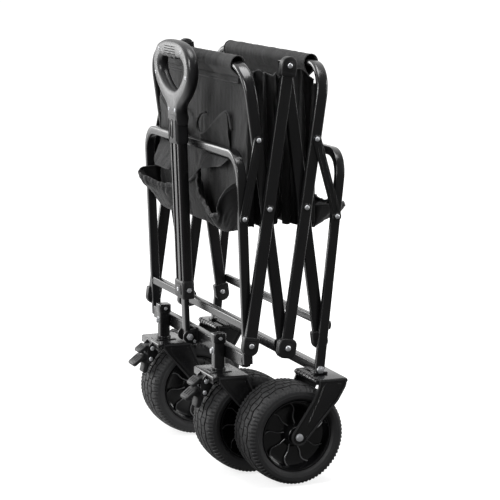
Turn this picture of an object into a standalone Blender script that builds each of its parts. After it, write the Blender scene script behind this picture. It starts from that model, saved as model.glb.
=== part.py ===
"""Folding beach cart, standing folded on its four wide wheels.

Frame: metres, +Z up, wheels on Z = 0. X runs across the cart (right side +X), the handle and
the swivelling wheels are at -Y (front), the fixed wheels at +Y (rear). The origin is under the
middle of the cart's box. Every empty stands on a joint axis and carries the pieces that turn or
slide there.
"""
from math import acos, atan2, cos, hypot, pi, radians, sin, tan

import bmesh
import bpy
from mathutils import Matrix, Vector

for old in list(bpy.data.objects):
    bpy.data.objects.remove(old, do_unlink=True)

# ------------------------------------------------------------------ driving dimensions
SIDES = (("right", 1), ("left", -1))    # name, sign of X
ENDS = (("front", -1), ("rear", 1))     # name, sign of Y

ORIGIN_SHIFT_Y = 0.0166        # moves the centre pivots so the origin is under the box's middle
TOP_Z = 0.7510                 # top centre pivot
FOLD_ANGLE = radians(8.04)     # scissor bars from the vertical
BAR_LENGTH = 0.500             # top pivot to foot pivot
CROSS_DISTANCE = 0.2544        # top pivot, and bottom hinge, to the crossing rivet
LEG_TO_LINK = 0.2262           # foot pivot to the link's pivot, up the leg
BAIL_TO_LINK = 0.1228          # crossing rivet to the link's far end, up the bail
BAIL_HEIGHT = 0.507            # bottom hinge to the centre line of the bail's top
LEG_LEAN = {"front": radians(2.3), "rear": radians(5.8)}   # outward from the vertical

TUBE_DEPTH = 0.022             # flattened tube, along Y
TUBE_T = 0.012                 # and along X
TUBE_BEVEL = 0.0025
OUTER_X, INNER_X = 0.266, 0.252     # the two tube layers
HOOP_X = {"front": INNER_X, "rear": OUTER_X}     # bails and end frames
BAR_X = {"front": OUTER_X, "rear": INNER_X}      # scissor bars
PIN_R = 0.004
GAP = 0.0003                   # clearance between fitted pieces

WHEEL_R = 0.0916
WHEEL_X = {"front": 0.153, "rear": 0.257}
WHEEL_Y = {"front": -0.0333, "rear": 0.0083}
SWIVEL_Y = -0.0876
HANDLE_Y, HANDLE_Z = -0.0945, 0.2252    # handle pivot

# ------------------------------------------------------------------ pivot places, folded
# Y values are distances from the middle, the same at both ends
HINGE_Z = TOP_Z - 2 * CROSS_DISTANCE * cos(FOLD_ANGLE)
FOOT_Y = BAR_LENGTH * sin(FOLD_ANGLE)
FOOT_Z = TOP_Z - BAR_LENGTH * cos(FOLD_ANGLE)
CROSS_Y = CROSS_DISTANCE * sin(FOLD_ANGLE)
CROSS_Z = TOP_Z - CROSS_DISTANCE * cos(FOLD_ANGLE)
BAIL_LINK_Y = CROSS_Y + BAIL_TO_LINK * sin(FOLD_ANGLE)
BAIL_LINK_Z = CROSS_Z + BAIL_TO_LINK * cos(FOLD_ANGLE)
BAIL_TOP_Y = BAIL_HEIGHT * sin(FOLD_ANGLE)
BAIL_TOP_Z = HINGE_Z + BAIL_HEIGHT * cos(FOLD_ANGLE)


def leg_y(z, lean):
    """Distance of a leg's centre line from the middle, at height z."""
    return FOOT_Y + (z - FOOT_Z) * tan(lean)


def leg_link(end, sy):
    """(y, z) of the link's pivot on a leg."""
    lean = LEG_LEAN[end]
    return sy * (FOOT_Y + LEG_TO_LINK * sin(lean)), FOOT_Z + LEG_TO_LINK * cos(lean)


# ------------------------------------------------------------------ collections and materials
parts = bpy.data.collections.new("beach_cart")
helpers = bpy.data.collections.new("cutters")
helpers.hide_render = True
for collection in (parts, helpers):
    bpy.context.scene.collection.children.link(collection)


def material(name, colour, roughness, metallic=0.0):
    mat = bpy.data.materials.new(name)
    mat.use_nodes = True
    shader = mat.node_tree.nodes["Principled BSDF"]
    shader.inputs["Base Color"].default_value = (*colour, 1)
    shader.inputs["Roughness"].default_value = roughness
    shader.inputs["Metallic"].default_value = metallic
    mat.diffuse_color = (*colour, 1)
    return mat


STEEL_BLACK = material("black_powder_coat", colour=(0.018, 0.018, 0.020), roughness=0.38)
PLASTIC = material("black_plastic", colour=(0.028, 0.028, 0.030), roughness=0.50)
GRIP = material("grey_grip", colour=(0.16, 0.16, 0.165), roughness=0.48)
PEDAL = material("pedal_grey", colour=(0.11, 0.11, 0.115), roughness=0.55)
ZINC = material("zinc", colour=(0.62, 0.63, 0.65), roughness=0.28, metallic=1.0)
RUBBER = material("tyre_rubber", colour=(0.035, 0.035, 0.037), roughness=0.80)
RIM = material("rim_plastic", colour=(0.012, 0.012, 0.014), roughness=0.24)
CLOTH = material("oxford_cloth", colour=(0.020, 0.020, 0.022), roughness=0.85)


# ------------------------------------------------------------------ outlines: lists of (x, y)
def arc(x, y, radius, start, end, steps):
    angles = [start + (end - start) * i / steps for i in range(steps + 1)]
    return [(x + radius * cos(angle), y + radius * sin(angle)) for angle in angles]


def circle(x, y, radius, steps=20):
    return arc(x, y, radius, 0, 2 * pi, steps)[:-1]


def rounded(width, height, radius, steps, x=0.0, y=0.0):
    """Rectangle about (x, y) with round corners."""
    points = []
    for sx, sy, start in ((1, 1, 0), (-1, 1, pi / 2), (-1, -1, pi), (1, -1, 1.5 * pi)):
        points += arc(x + sx * (width / 2 - radius), y + sy * (height / 2 - radius), radius,
                      start, start + pi / 2, steps)
    return points


def mirrored(points):
    """The points in reverse order, mirrored in x."""
    return [(-x, y) for x, y in reversed(points)]


def hoop(half_width, top, foot, radius, steps=7):
    """Inverted U of tube: legs at +-half_width down to -foot, the top's centre line at top."""
    x, y = half_width - radius, top - radius
    half_tube = TUBE_T / 2
    outer, inner = radius + half_tube, radius - half_tube
    return ([(half_width + half_tube, -foot)]
            + arc(x, y, outer, 0, pi / 2, steps)
            + arc(-x, y, outer, pi / 2, pi, steps)
            + [(-half_width - half_tube, -foot), (-half_width + half_tube, -foot)]
            + arc(-x, y, inner, pi, pi / 2, steps)
            + arc(x, y, inner, pi / 2, 0, steps)
            + [(half_width - half_tube, -foot)])


# ------------------------------------------------------------------ planes for outlines
def leaning_plane(origin, tilt):
    """Plane of X and the direction that leans by tilt from +Z towards -Y."""
    turn = Matrix(((1, 0, 0), (0, -sin(tilt), -cos(tilt)), (0, cos(tilt), -sin(tilt))))
    return Matrix.Translation(origin) @ turn.to_4x4()


def side_plane(x, y=0.0, z=0.0, tilt=0.0):
    """Plane of Y and Z at x with its origin at (y, z), leaning by tilt from +Z towards -Y."""
    turn = Matrix(((0, 0, 1), (cos(tilt), -sin(tilt), 0), (sin(tilt), cos(tilt), 0)))
    return Matrix.Translation((x, y, z)) @ turn.to_4x4()


# ------------------------------------------------------------------ solids, as bmeshes
def sharp_bevel(bm, width, segments=2, angle=radians(35)):
    edges = [e for e in bm.edges if len(e.link_faces) == 2 and e.calc_face_angle() > angle]
    bmesh.ops.bevel(bm, geom=edges, offset=width, segments=segments, profile=0.5,
                    affect="EDGES", clamp_overlap=True)


def box(centre, size, rotation=None, bevel=0.0):
    bm = bmesh.new()
    bmesh.ops.create_cube(bm, size=1.0)
    bmesh.ops.scale(bm, vec=size, verts=bm.verts)
    if bevel:
        sharp_bevel(bm, bevel)
    turn = rotation.to_4x4() if rotation else Matrix.Identity(4)
    bmesh.ops.transform(bm, matrix=Matrix.Translation(centre) @ turn, verts=bm.verts)
    return bm


def rod(start, end, radius):
    start, end = Vector(start), Vector(end)
    bm = bmesh.new()
    bmesh.ops.create_cone(bm, cap_ends=True, segments=20, radius1=radius, radius2=radius,
                          depth=(end - start).length)
    turn = Vector((0, 0, 1)).rotation_difference(end - start).to_matrix().to_4x4()
    bmesh.ops.transform(bm, matrix=Matrix.Translation((start + end) / 2) @ turn, verts=bm.verts)
    return bm


def from_object(obj):
    """The evaluated mesh of a helper object as a bmesh; the object is removed."""
    bpy.context.view_layer.update()
    graph = bpy.context.evaluated_depsgraph_get()
    mesh = bpy.data.meshes.new_from_object(obj.evaluated_get(graph))
    bm = bmesh.new()
    bm.from_mesh(mesh)
    bmesh.ops.transform(bm, matrix=obj.matrix_world, verts=bm.verts)
    bpy.data.objects.remove(obj, do_unlink=True)
    bpy.data.meshes.remove(mesh)
    bmesh.ops.remove_doubles(bm, verts=bm.verts, dist=1e-6)
    bmesh.ops.recalc_face_normals(bm, faces=bm.faces)
    return bm


def plate(loops, thickness, plane, bevel=0.0, segments=2):
    """A flat outline (the first loop) with holes (the others), filled and extruded both ways."""
    curve = bpy.data.curves.new("outline", "CURVE")
    curve.dimensions = "2D"
    curve.fill_mode = "BOTH"
    curve.extrude = thickness / 2
    for points in loops:
        spline = curve.splines.new("POLY")
        spline.points.add(len(points) - 1)
        for point, (x, y) in zip(spline.points, points):
            point.co = (x, y, 0, 1)
        spline.use_cyclic_u = True
    obj = bpy.data.objects.new("outline", curve)
    helpers.objects.link(obj)
    obj.matrix_world = plane
    bm = from_object(obj)
    if bevel:
        # the fill's triangles go first, so that only real edges are bevelled
        bmesh.ops.dissolve_limit(bm, angle_limit=radians(0.5), verts=bm.verts, edges=bm.edges)
        sharp_bevel(bm, bevel, segments, radians(50))
    return bm


def turned(profile, centre, side=1, steps=20, closed=False):
    """A profile of (x, radius) points, spun round a line along X through centre."""
    mesh = bpy.data.meshes.new("profile")
    count = len(profile)
    edges = [(i, i + 1) for i in range(count - 1)]
    if closed:
        edges.append((count - 1, 0))
    mesh.from_pydata([(side * x, radius, 0.0) for x, radius in profile], edges, [])
    obj = bpy.data.objects.new("profile", mesh)
    helpers.objects.link(obj)
    screw = obj.modifiers.new("Screw", "SCREW")
    screw.axis = "X"
    screw.steps = screw.render_steps = steps
    screw.use_merge_vertices = True
    screw.merge_threshold = 1e-5
    obj.location = centre
    return from_object(obj)


# ------------------------------------------------------------------ joint axes
pivots = {}     # name: (empty, its place in the cart's frame)


def pivot(name, place, parent=None):
    """An empty on a joint's axis. place is in the cart's frame."""
    empty = bpy.data.objects.new(name, None)
    empty.empty_display_size = 0.03
    helpers.objects.link(empty)
    pivots[name] = (empty, Vector(place))
    if parent:
        empty.parent = pivots[parent][0]
        empty.location = Vector(place) - pivots[parent][1]
    else:
        empty.location = place


def add_pivots():
    pivot("hinge_base", (0, 0, HINGE_Z))
    for end, sy in ENDS:
        bail_top = (0, sy * BAIL_TOP_Y, BAIL_TOP_Z)
        pivot(f"{end}_bail", (0, 0, HINGE_Z), "hinge_base")
        pivot(f"{end}_bars", (0, sy * CROSS_Y, CROSS_Z), f"{end}_bail")
        pivot(f"{end}_frame", (0, sy * FOOT_Y, FOOT_Z), f"{end}_bars")
        pivot(f"{end}_links", (0, *leg_link(end, sy)), f"{end}_frame")
        pivot(f"hem_{end}", bail_top, f"{end}_bail")
        pivot(f"panel_{end}", bail_top, f"hem_{end}")
        pivot(f"sides_{end}", (0, 0, BAIL_TOP_Z), f"hem_{end}")
    pivot("handle_base", (0, HANDLE_Y, HANDLE_Z), "front_frame")
    pivot("handle_slide", (0, HANDLE_Y, HANDLE_Z), "handle_base")
    for side, sx in SIDES:
        x = sx * WHEEL_X["front"]
        caster = f"caster_{side}"
        pivot(caster, (x, SWIVEL_Y, 0.2), "front_frame")
        pivot(f"front_wheel_{side}", (x, WHEEL_Y["front"], WHEEL_R), caster)
        pivot(f"rear_wheel_{side}", (sx * WHEEL_X["rear"], WHEEL_Y["rear"], WHEEL_R), "rear_frame")
        pivot(f"release_{side}", (x, -0.1170, 0.1735), caster)
        pivot(f"brake_{side}", (x, -0.1200, 0.1530), caster)


# ------------------------------------------------------------------ pieces
def to_object(bm, name, joint, collection):
    """A bmesh as an object whose origin is on its joint's axis."""
    empty, place = pivots[joint]
    bmesh.ops.translate(bm, vec=-place, verts=bm.verts)
    bmesh.ops.recalc_face_normals(bm, faces=bm.faces)
    mesh = bpy.data.meshes.new(name)
    bm.to_mesh(mesh)
    bm.free()
    obj = bpy.data.objects.new(name, mesh)
    collection.objects.link(obj)
    obj.parent = empty
    return obj


def piece(name, joint, mat, shapes, cuts=()):
    """One part: the first shape, the others joined to it, the cuts taken out of it."""
    obj = to_object(shapes[0], name, joint, parts)
    obj.data.materials.append(mat)
    steps = [("UNION", shape) for shape in shapes[1:]] + [("DIFFERENCE", cut) for cut in cuts]
    for i, (operation, bm) in enumerate(steps):
        helper = to_object(bm, f"{name}_{operation.lower()}_{i}", joint, helpers)
        helper.hide_render = True
        helper.display_type = "WIRE"
        boolean = obj.modifiers.new(operation.title(), "BOOLEAN")
        boolean.operation = operation
        boolean.object = helper
        boolean.solver = "EXACT"
    obj.data.shade_smooth()
    obj.data.set_sharp_from_angle(angle=radians(35))


# ------------------------------------------------------------------ bails and end frames
BAIL_CORNER_R, FRAME_CORNER_R = 0.055, 0.045
BAIL_FOOT = 0.013                           # bail below the bottom hinge
FRAME_TOP = 0.338                           # foot pivot to the top of an end frame
FRAME_FOOT = {"front": 0.0364, "rear": 0.0612}    # leg below the foot pivot
FRAME_TUBE_DEPTH = 0.0175                   # the end frames' narrower tube, along Y
LOWER_BAR_Z, LOWER_BAR_T = 0.2248, 0.016    # front lower crossbar, which carries the handle
# end, row, z, height, thickness, shift outward along Y (the rear upper one clears the bars)
CROSSBARS = (
    ("front", "upper", 0.2880, 0.015, 0.014, 0.0),
    ("front", "lower", LOWER_BAR_Z, 0.024, LOWER_BAR_T, 0.0),
    ("rear", "upper", 0.2810, 0.015, 0.010, 0.0118),
    ("rear", "lower", 0.2040, 0.018, 0.015, 0.0),
)


def add_bail(end, sy):
    outline = hoop(HOOP_X[end], BAIL_HEIGHT, BAIL_FOOT, BAIL_CORNER_R)
    plane = leaning_plane((0, 0, HINGE_Z), -sy * FOLD_ANGLE)
    bore = rod((-0.3, 0, HINGE_Z), (0.3, 0, HINGE_Z), PIN_R + GAP)
    piece(f"{end}_bail_hoop", f"{end}_bail", STEEL_BLACK,
          [plate([outline], TUBE_DEPTH, plane, TUBE_BEVEL)], [bore])


def add_end_frame(end, sy):
    outline = hoop(HOOP_X[end], FRAME_TOP, FRAME_FOOT[end], FRAME_CORNER_R)
    plane = leaning_plane((0, sy * FOOT_Y, FOOT_Z), -sy * LEG_LEAN[end])
    piece(f"{end}_end_frame", f"{end}_frame", STEEL_BLACK,
          [plate([outline], FRAME_TUBE_DEPTH, plane, TUBE_BEVEL)])


def add_crossbars():
    for end, row, z, height, thickness, outward in CROSSBARS:
        sy = dict(ENDS)[end]
        half_length = HOOP_X[end] - TUBE_T / 2 - 0.0005
        y = sy * (leg_y(z, LEG_LEAN[end]) + outward)
        piece(f"{end}_{row}_crossbar", f"{end}_frame", STEEL_BLACK,
              [box((0, y, z), (2 * half_length, thickness, height), bevel=0.0015)])


# ------------------------------------------------------------------ bars, caps, hinge pins, links
BAR_PAST_FOOT, BAR_PAST_TOP = 0.010, 0.009      # bar beyond its end pivots
CAP_DROP = 0.0015                               # centre of a bar's cap below its pivot
CAP_CORNER_R = 0.003
CAP_BEVEL = 0.0012
CAP_T = {OUTER_X: 0.0159, INNER_X: 0.0150}      # caps across, by tube layer
CAP_SHIFT = {OUTER_X: 0.0006, INNER_X: -0.0001}     # cap's middle outward of its layer
SLOT_PAST_PIVOT = 0.010
SLOT_REACH = 0.05                               # slot inward from the pivot, open-ended
LINK_X = {"front": 0.2605, "rear": 0.2739}
LINK_WIDTH, LINK_T = 0.016, 0.003


def cap_outline(width, height, outward):
    """Half round at the outward end (1 is up, -1 down), small corners at the other."""
    corner_x, corner_y = width / 2 - CAP_CORNER_R, -height / 2 + CAP_CORNER_R
    points = arc(0, height / 2 - width / 2, width / 2, 0, pi, 10)
    points += arc(-corner_x, corner_y, CAP_CORNER_R, pi, 1.5 * pi, 2)
    points += arc(corner_x, corner_y, CAP_CORNER_R, 1.5 * pi, 2 * pi, 2)
    return [(x, outward * y - CAP_DROP) for x, y in points]


def tube_slot(place, inward, past, rotation):
    """Cutter for a tube's end: from past beyond the pivot at place to well inside."""
    start = place - inward * (past + GAP)
    end = place + inward * SLOT_REACH
    size = (TUBE_T + 2 * GAP, TUBE_DEPTH + 2 * GAP, (end - start).length)
    return box((start + end) / 2, size, rotation)


def add_bar(side, sx, end, sy):
    """A scissor bar and its moulded caps: one at each foot, and one at the front bars' tops."""
    tilt = sy * FOLD_ANGLE      # the bar leans over the middle towards the other end
    rotation = Matrix.Rotation(tilt, 3, "X")
    along = rotation @ Vector((0, 0, 1))
    layer = BAR_X[end]
    top = Vector((sx * layer, 0, TOP_Z))
    foot = Vector((sx * layer, sy * FOOT_Y, FOOT_Z))
    low, high = foot - along * BAR_PAST_FOOT, top + along * BAR_PAST_TOP
    piece(f"{end}_bar_{side}", f"{end}_bars", STEEL_BLACK,
          [box((low + high) / 2, (TUBE_T, TUBE_DEPTH, (high - low).length), rotation,
               TUBE_BEVEL)])

    caps = [("foot", foot, -1, 0.029, 0.034)]       # name, pivot, outward, width, height
    if end == "front":
        caps.append(("top", top, 1, 0.0285, 0.035))
    for name, place, outward, width, height in caps:
        plane = side_plane(sx * (layer + CAP_SHIFT[layer]), place.y, place.z, tilt)
        cap = plate([cap_outline(width, height, outward)], CAP_T[layer], plane, CAP_BEVEL)
        slot = tube_slot(place, along * -outward, SLOT_PAST_PIVOT, rotation)
        piece(f"{end}_{name}_cap_{side}", f"{end}_bars", PLASTIC, [cap], [slot])


def add_bail_foot_cap(side, sx):
    """Moulded cap round the rear bail's foot."""
    plane = side_plane(sx * (OUTER_X + CAP_SHIFT[OUTER_X]), 0, HINGE_Z, -FOLD_ANGLE)
    rotation = Matrix.Rotation(-FOLD_ANGLE, 3, "X")
    outline = rounded(0.034, 0.036, 0.010, 4, y=-0.001)
    slot = tube_slot(Vector((sx * OUTER_X, 0, HINGE_Z)), rotation @ Vector((0, 0, 1)),
                     BAIL_FOOT, rotation)
    bore = rod((sx * 0.24, 0, HINGE_Z), (sx * 0.29, 0, HINGE_Z), PIN_R + GAP)
    piece(f"rear_bail_foot_cap_{side}", "rear_bail", PLASTIC,
          [plate([outline], CAP_T[OUTER_X], plane, CAP_BEVEL)], [slot, bore])


def add_hinge_pin(side, sx):
    """Headed pin that joins the two bails."""
    pin_in = INNER_X - TUBE_T / 2 + 0.0005
    cap_out = OUTER_X + CAP_SHIFT[OUTER_X] + CAP_T[OUTER_X] / 2
    head_r = 0.0078
    profile = [(pin_in, 0), (pin_in, PIN_R), (cap_out + 0.0004, PIN_R),
               (cap_out + 0.0004, head_r), (cap_out + 0.0020, head_r),
               (cap_out + 0.0034, 0.0055), (cap_out + 0.0038, 0)]
    piece(f"bottom_hinge_pin_{side}", "hinge_base", ZINC,
          [turned(profile, (0, 0, HINGE_Z), sx)])


def add_link(side, sx, end, sy):
    """Short round-ended link between leg and bail."""
    y, z = leg_link(end, sy)
    run, rise = sy * BAIL_LINK_Y - y, BAIL_LINK_Z - z
    plane = side_plane(sx * LINK_X[end], y, z, -atan2(run, rise))
    radius = LINK_WIDTH / 2
    outline = arc(0, hypot(run, rise), radius, 0, pi, 8) + arc(0, 0, radius, pi, 2 * pi, 8)
    piece(f"{end}_link_{side}", f"{end}_links", STEEL_BLACK, [plate([outline], LINK_T, plane)])


# ------------------------------------------------------------------ handle
BOLT_R = 0.003
BOLT_HOLE_R = 0.0033
BOLT_HALF = [(-0.0222, 0), (-0.0222, 0.0050), (-0.0210, 0.0062), (-0.0178, 0.0062),
             (-0.0178, BOLT_R)]     # x, radius
OUTER_TUBE_WIDTH, OUTER_TUBE_DEPTH = 0.046, 0.019
OUTER_TUBE_CORNER = 0.003
CHANNEL_X0, CHANNEL_X1, CHANNEL_DEPTH = 0.0060, 0.0150, 0.0022
OUTER_TUBE_TOP = 0.4080             # up the handle from its pivot
GRIP_T = 0.027
# right half of the grip's outline, top to bottom: x, distance up the handle
GRIP_OUTER = [
    (0.0, 0.5578), (0.020, 0.5574), (0.042, 0.5550), (0.062, 0.5494),
    (0.078, 0.5390), (0.0875, 0.5260), (0.0912, 0.5110), (0.0905, 0.4960),
    (0.0845, 0.4810), (0.073, 0.4650), (0.058, 0.4500), (0.044, 0.4390),
    (0.034, 0.4290), (0.0290, 0.4180), (0.0270, 0.4040), (0.0270, 0.3830),
]
# right half of its hand hole, without the two points on the middle line
GRIP_HOLE = [
    (0.012, 0.5230), (0.028, 0.5248), (0.042, 0.5244), (0.052, 0.5200), (0.0570, 0.5120),
    (0.0560, 0.5020), (0.049, 0.4910), (0.037, 0.4805), (0.024, 0.4730), (0.012, 0.4692),
]


def sleeve(loops, low, high):
    """A length of tube along the handle, between two distances up from its pivot."""
    base = (Matrix.Translation((0, HANDLE_Y, HANDLE_Z))
            @ Matrix.Rotation(LEG_LEAN["front"], 4, "X"))
    return plate(loops, high - low, base @ Matrix.Translation((0, 0, (low + high) / 2)))


def outer_tube_clearance():
    return rounded(OUTER_TUBE_WIDTH + 2 * GAP, OUTER_TUBE_DEPTH + 2 * GAP, 0.002, 2)


def add_handle_bracket():
    """Plate on the front lower crossbar with two ears that hold the pivot bolt."""
    plate_t = 0.0034
    ear_x, ear_t = 0.01575, 0.0035
    ear_z0, ear_z1 = 0.2105, 0.2400
    back_y = -leg_y(LOWER_BAR_Z, LEG_LEAN["front"]) - LOWER_BAR_T / 2 - GAP
    ear_back = back_y - 0.0015
    ear_front = ear_back - 0.009
    ear = [(ear_back, ear_z0), (ear_back, ear_z1), (ear_front, ear_z1)]
    ear += arc(HANDLE_Y, HANDLE_Z, 0.012, radians(110), radians(250), 8)
    ear += [(ear_front, ear_z0)]
    hole = circle(HANDLE_Y, HANDLE_Z, BOLT_HOLE_R)
    shapes = [box((0, back_y - plate_t / 2, 0.22525), (0.039, plate_t, 0.0325))]
    shapes += [plate([ear, hole], ear_t, side_plane(x)) for x in (ear_x, -ear_x)]
    piece("handle_bracket", "front_frame", STEEL_BLACK, shapes)
    piece("handle_pivot_bolt", "front_frame", ZINC,
          [turned(BOLT_HALF + mirrored(BOLT_HALF), (0, HANDLE_Y, HANDLE_Z))])


def add_handle_tubes():
    bore = rod((-0.03, HANDLE_Y, HANDLE_Z), (0.03, HANDLE_Y, HANDLE_Z), BOLT_HOLE_R)
    piece("handle_inner_tube", "handle_base", STEEL_BLACK,
          [sleeve([rounded(0.022, 0.010, 0.003, 3)], -0.012, 0.370)], [bore])

    # the outer tube has two shallow channels down its front
    x, y, corner = OUTER_TUBE_WIDTH / 2, OUTER_TUBE_DEPTH / 2, OUTER_TUBE_CORNER
    front_half = [(-x, -y + corner), (-x + corner, -y),
                  (-CHANNEL_X1, -y), (-CHANNEL_X1, -y + CHANNEL_DEPTH),
                  (-CHANNEL_X0, -y + CHANNEL_DEPTH), (-CHANNEL_X0, -y)]
    back = [(x, y - corner), (x - corner, y), (-x + corner, y), (-x, y - corner)]
    outline = front_half + mirrored(front_half) + back
    piece("handle_outer_tube", "handle_slide", STEEL_BLACK,
          [sleeve([outline, rounded(0.0230, 0.0110, 0.002, 2)], 0.0760, OUTER_TUBE_TOP)])
    piece("handle_collar", "handle_slide", PLASTIC,
          [sleeve([rounded(0.053, 0.0255, 0.005, 4), outer_tube_clearance()], 0.0730, 0.1075)])


def add_handle_grip():
    outer = GRIP_OUTER + mirrored(GRIP_OUTER[1:])
    hole = GRIP_HOLE + [(0.0, 0.4680)] + mirrored(GRIP_HOLE) + [(0.0, 0.5250)]
    plane = leaning_plane((0, HANDLE_Y, HANDLE_Z), LEG_LEAN["front"])
    piece("handle_grip", "handle_slide", GRIP,
          [plate([outer, hole], GRIP_T, plane, bevel=0.0055, segments=3)],
          [sleeve([outer_tube_clearance()], 0.3700, OUTER_TUBE_TOP + GAP)])


# ------------------------------------------------------------------ forks, swivels and pedals
AXLE_R = 0.006
FORK_GAP, FORK_T = 0.0505, 0.003        # wheel's middle to a fork arm, arm's thickness
FORK_OUT = FORK_GAP + FORK_T
FORK_TOP_T = 0.004
PEDAL_WIDTH = 0.0270
# side outlines: y, z
CHEEK = [(-0.1000, 0.1865), (-0.1155, 0.1865), (-0.1270, 0.1740), (-0.1270, 0.1480),
         (-0.1200, 0.1450), (-0.1130, 0.1500), (-0.1060, 0.1640)]
RELEASE_PEDAL = [(-0.1125, 0.1685), (-0.1125, 0.1770), (-0.1175, 0.1792), (-0.1250, 0.1785),
                 (-0.1410, 0.1720), (-0.1425, 0.1690), (-0.1400, 0.1665), (-0.1240, 0.1680)]
BRAKE_PEDAL = [(-0.1155, 0.1500), (-0.1155, 0.1560), (-0.1200, 0.1585), (-0.1290, 0.1580),
               (-0.1550, 0.1530), (-0.1585, 0.1490), (-0.1560, 0.1455), (-0.1330, 0.1480),
               (-0.1320, 0.1420), (-0.1345, 0.1270), (-0.1315, 0.1240), (-0.1265, 0.1260),
               (-0.1225, 0.1380)]


def fork_arms(x, axle_y, top, rear, front, radius):
    """Two bored arms that narrow to a round end about the axle.

    top is the upper edge from front to rear; rear and front are the edges, going down (y, z).
    """
    def tangent(point, turn):
        """Angle about the axle where a line from point touches the round end."""
        y, z = point[0] - axle_y, point[1] - WHEEL_R
        return atan2(z, y) + turn * acos(radius / hypot(y, z))

    start, end = tangent(rear[-1], -1), tangent(front[-1], 1)
    if end > start:
        end -= 2 * pi
    outline = top + rear + arc(axle_y, WHEEL_R, radius, start, end, 12) + front[::-1]
    bore = circle(axle_y, WHEEL_R, AXLE_R + GAP)
    return [plate([outline, bore], FORK_T, side_plane(x + sign * (FORK_GAP + FORK_T / 2)))
            for sign in (1, -1)]


def fork_top(x, y, z, depth, corner):
    outline = rounded(2 * FORK_OUT - 0.002, depth, corner, 3, x, y)
    return plate([outline], FORK_TOP_T, Matrix.Translation((0, 0, z)), bevel=0.0010)


def add_front_fork(side, sx):
    x = sx * WHEEL_X["front"]
    shapes = [fork_top(x, -0.0820, 0.1865, depth=0.0680, corner=0.006)]
    shapes += fork_arms(x, WHEEL_Y["front"], top=[(-0.1010, 0.1866), (-0.0505, 0.1866)],
                        rear=[(-0.0400, 0.1640)],
                        front=[(-0.1040, 0.1790), (-0.0700, 0.1390)], radius=0.0145)
    shapes += [plate([CHEEK], 0.0025, side_plane(x + shift)) for shift in (0.0160, -0.0160)]
    shapes += [rod((x, SWIVEL_Y, 0.1860), (x, SWIVEL_Y, 0.2480), 0.0050)]
    piece(f"front_fork_{side}", f"caster_{side}", STEEL_BLACK, shapes)


def add_caster_socket(side, sx):
    """Square socket and collar round the swivel's stem."""
    x = sx * WHEEL_X["front"]
    socket = box((x, SWIVEL_Y, 0.22325), (0.020, 0.020, 0.0675), bevel=0.0020)
    collar = box((x, SWIVEL_Y, 0.2500), (0.0236, 0.0200, 0.0155), bevel=0.0015)
    bore = rod((x, SWIVEL_Y, 0.17), (x, SWIVEL_Y, 0.2490), 0.0054)
    piece(f"caster_socket_{side}", "front_frame", STEEL_BLACK, [socket, collar], [bore])


def add_pedals(side, sx):
    for name, outline in (("release", RELEASE_PEDAL), ("brake", BRAKE_PEDAL)):
        solid = plate([outline], PEDAL_WIDTH, side_plane(sx * WHEEL_X["front"]),
                      bevel=0.0010, segments=1)
        piece(f"{name}_pedal_{side}", f"{name}_{side}", PEDAL, [solid])


def add_rear_fork(side, sx):
    x = sx * WHEEL_X["rear"]
    shapes = [fork_top(x, 0.0715, 0.1920, depth=0.0550, corner=0.005)]
    shapes += fork_arms(x, WHEEL_Y["rear"], top=[(0.0465, 0.1920), (0.0965, 0.1920)],
                        rear=[(0.0960, 0.1810), (0.0830, 0.1540)],
                        front=[(0.0455, 0.1830), (0.0360, 0.1580)], radius=0.0150)
    piece(f"rear_fork_{side}", "rear_frame", STEEL_BLACK, shapes)


# ------------------------------------------------------------------ wheels
# half profiles: x from the wheel's middle, radius
TYRE_HALF = [(0.041, 0.0660), (0.0465, 0.0720), (0.0480, 0.0800), (0.0455, 0.0868),
             (0.0380, 0.0902), (0.0180, WHEEL_R)]
RIM_HALF = [(0.0405, 0.0657), (0.0405, 0.0625), (0.0300, 0.0605), (0.0150, 0.0570),
            (0.0110, 0.0220), (0.0230, 0.0185), (0.0440, 0.0165), (0.0440, AXLE_R + GAP)]
AXLE_HALF = [(-FORK_OUT - 0.0022, 0), (-FORK_OUT - 0.0022, 0.0075),
             (-FORK_OUT - GAP, 0.0090), (-FORK_OUT - GAP, AXLE_R)]


def add_wheel(side, sx, end, axle_joint):
    centre = (sx * WHEEL_X[end], WHEEL_Y[end], WHEEL_R)
    joint = f"{end}_wheel_{side}"
    tyre = turned(TYRE_HALF + mirrored(TYRE_HALF), centre, sx, steps=36, closed=True)
    rim = turned(RIM_HALF + mirrored(RIM_HALF), centre, sx, steps=32, closed=True)
    axle = turned(AXLE_HALF + mirrored(AXLE_HALF), centre, sx)
    piece(f"{end}_tyre_{side}", joint, RUBBER, [tyre])
    piece(f"{end}_rim_{side}", joint, RIM, [rim])
    piece(f"{end}_axle_{side}", axle_joint, ZINC, [axle])


# ------------------------------------------------------------------ basket: plain closed solids
HEM_WIDTH = 0.380
PANEL_T = 0.0040


def add_basket_hem(end, sy):
    """Cloth sleeve round the bail's top."""
    loops = [circle(sy * BAIL_TOP_Y, BAIL_TOP_Z, radius, 24) for radius in (0.0165, 0.0132)]
    piece(f"basket_{end}_hem", f"hem_{end}", CLOTH, [plate(loops, HEM_WIDTH, side_plane(0))])


def add_basket_panel(end, sy):
    """End wall, its neck up to the hem, and two lips that stand out from it."""
    y = sy * BAIL_TOP_Y - sy * 0.0060
    lip_depth = 0.0600
    wall = box((0, y, 0.5900), (0.464, PANEL_T, 0.2140))
    neck = box((0, y, 0.7100), (HEM_WIDTH, PANEL_T, 0.0430))
    lips = [box((sx * 0.1350, y + sy * lip_depth / 2, 0.5660), (0.170, lip_depth, 0.0120))
            for _, sx in SIDES]
    piece(f"basket_{end}_panel", f"panel_{end}", CLOTH, [wall, neck] + lips)


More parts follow.
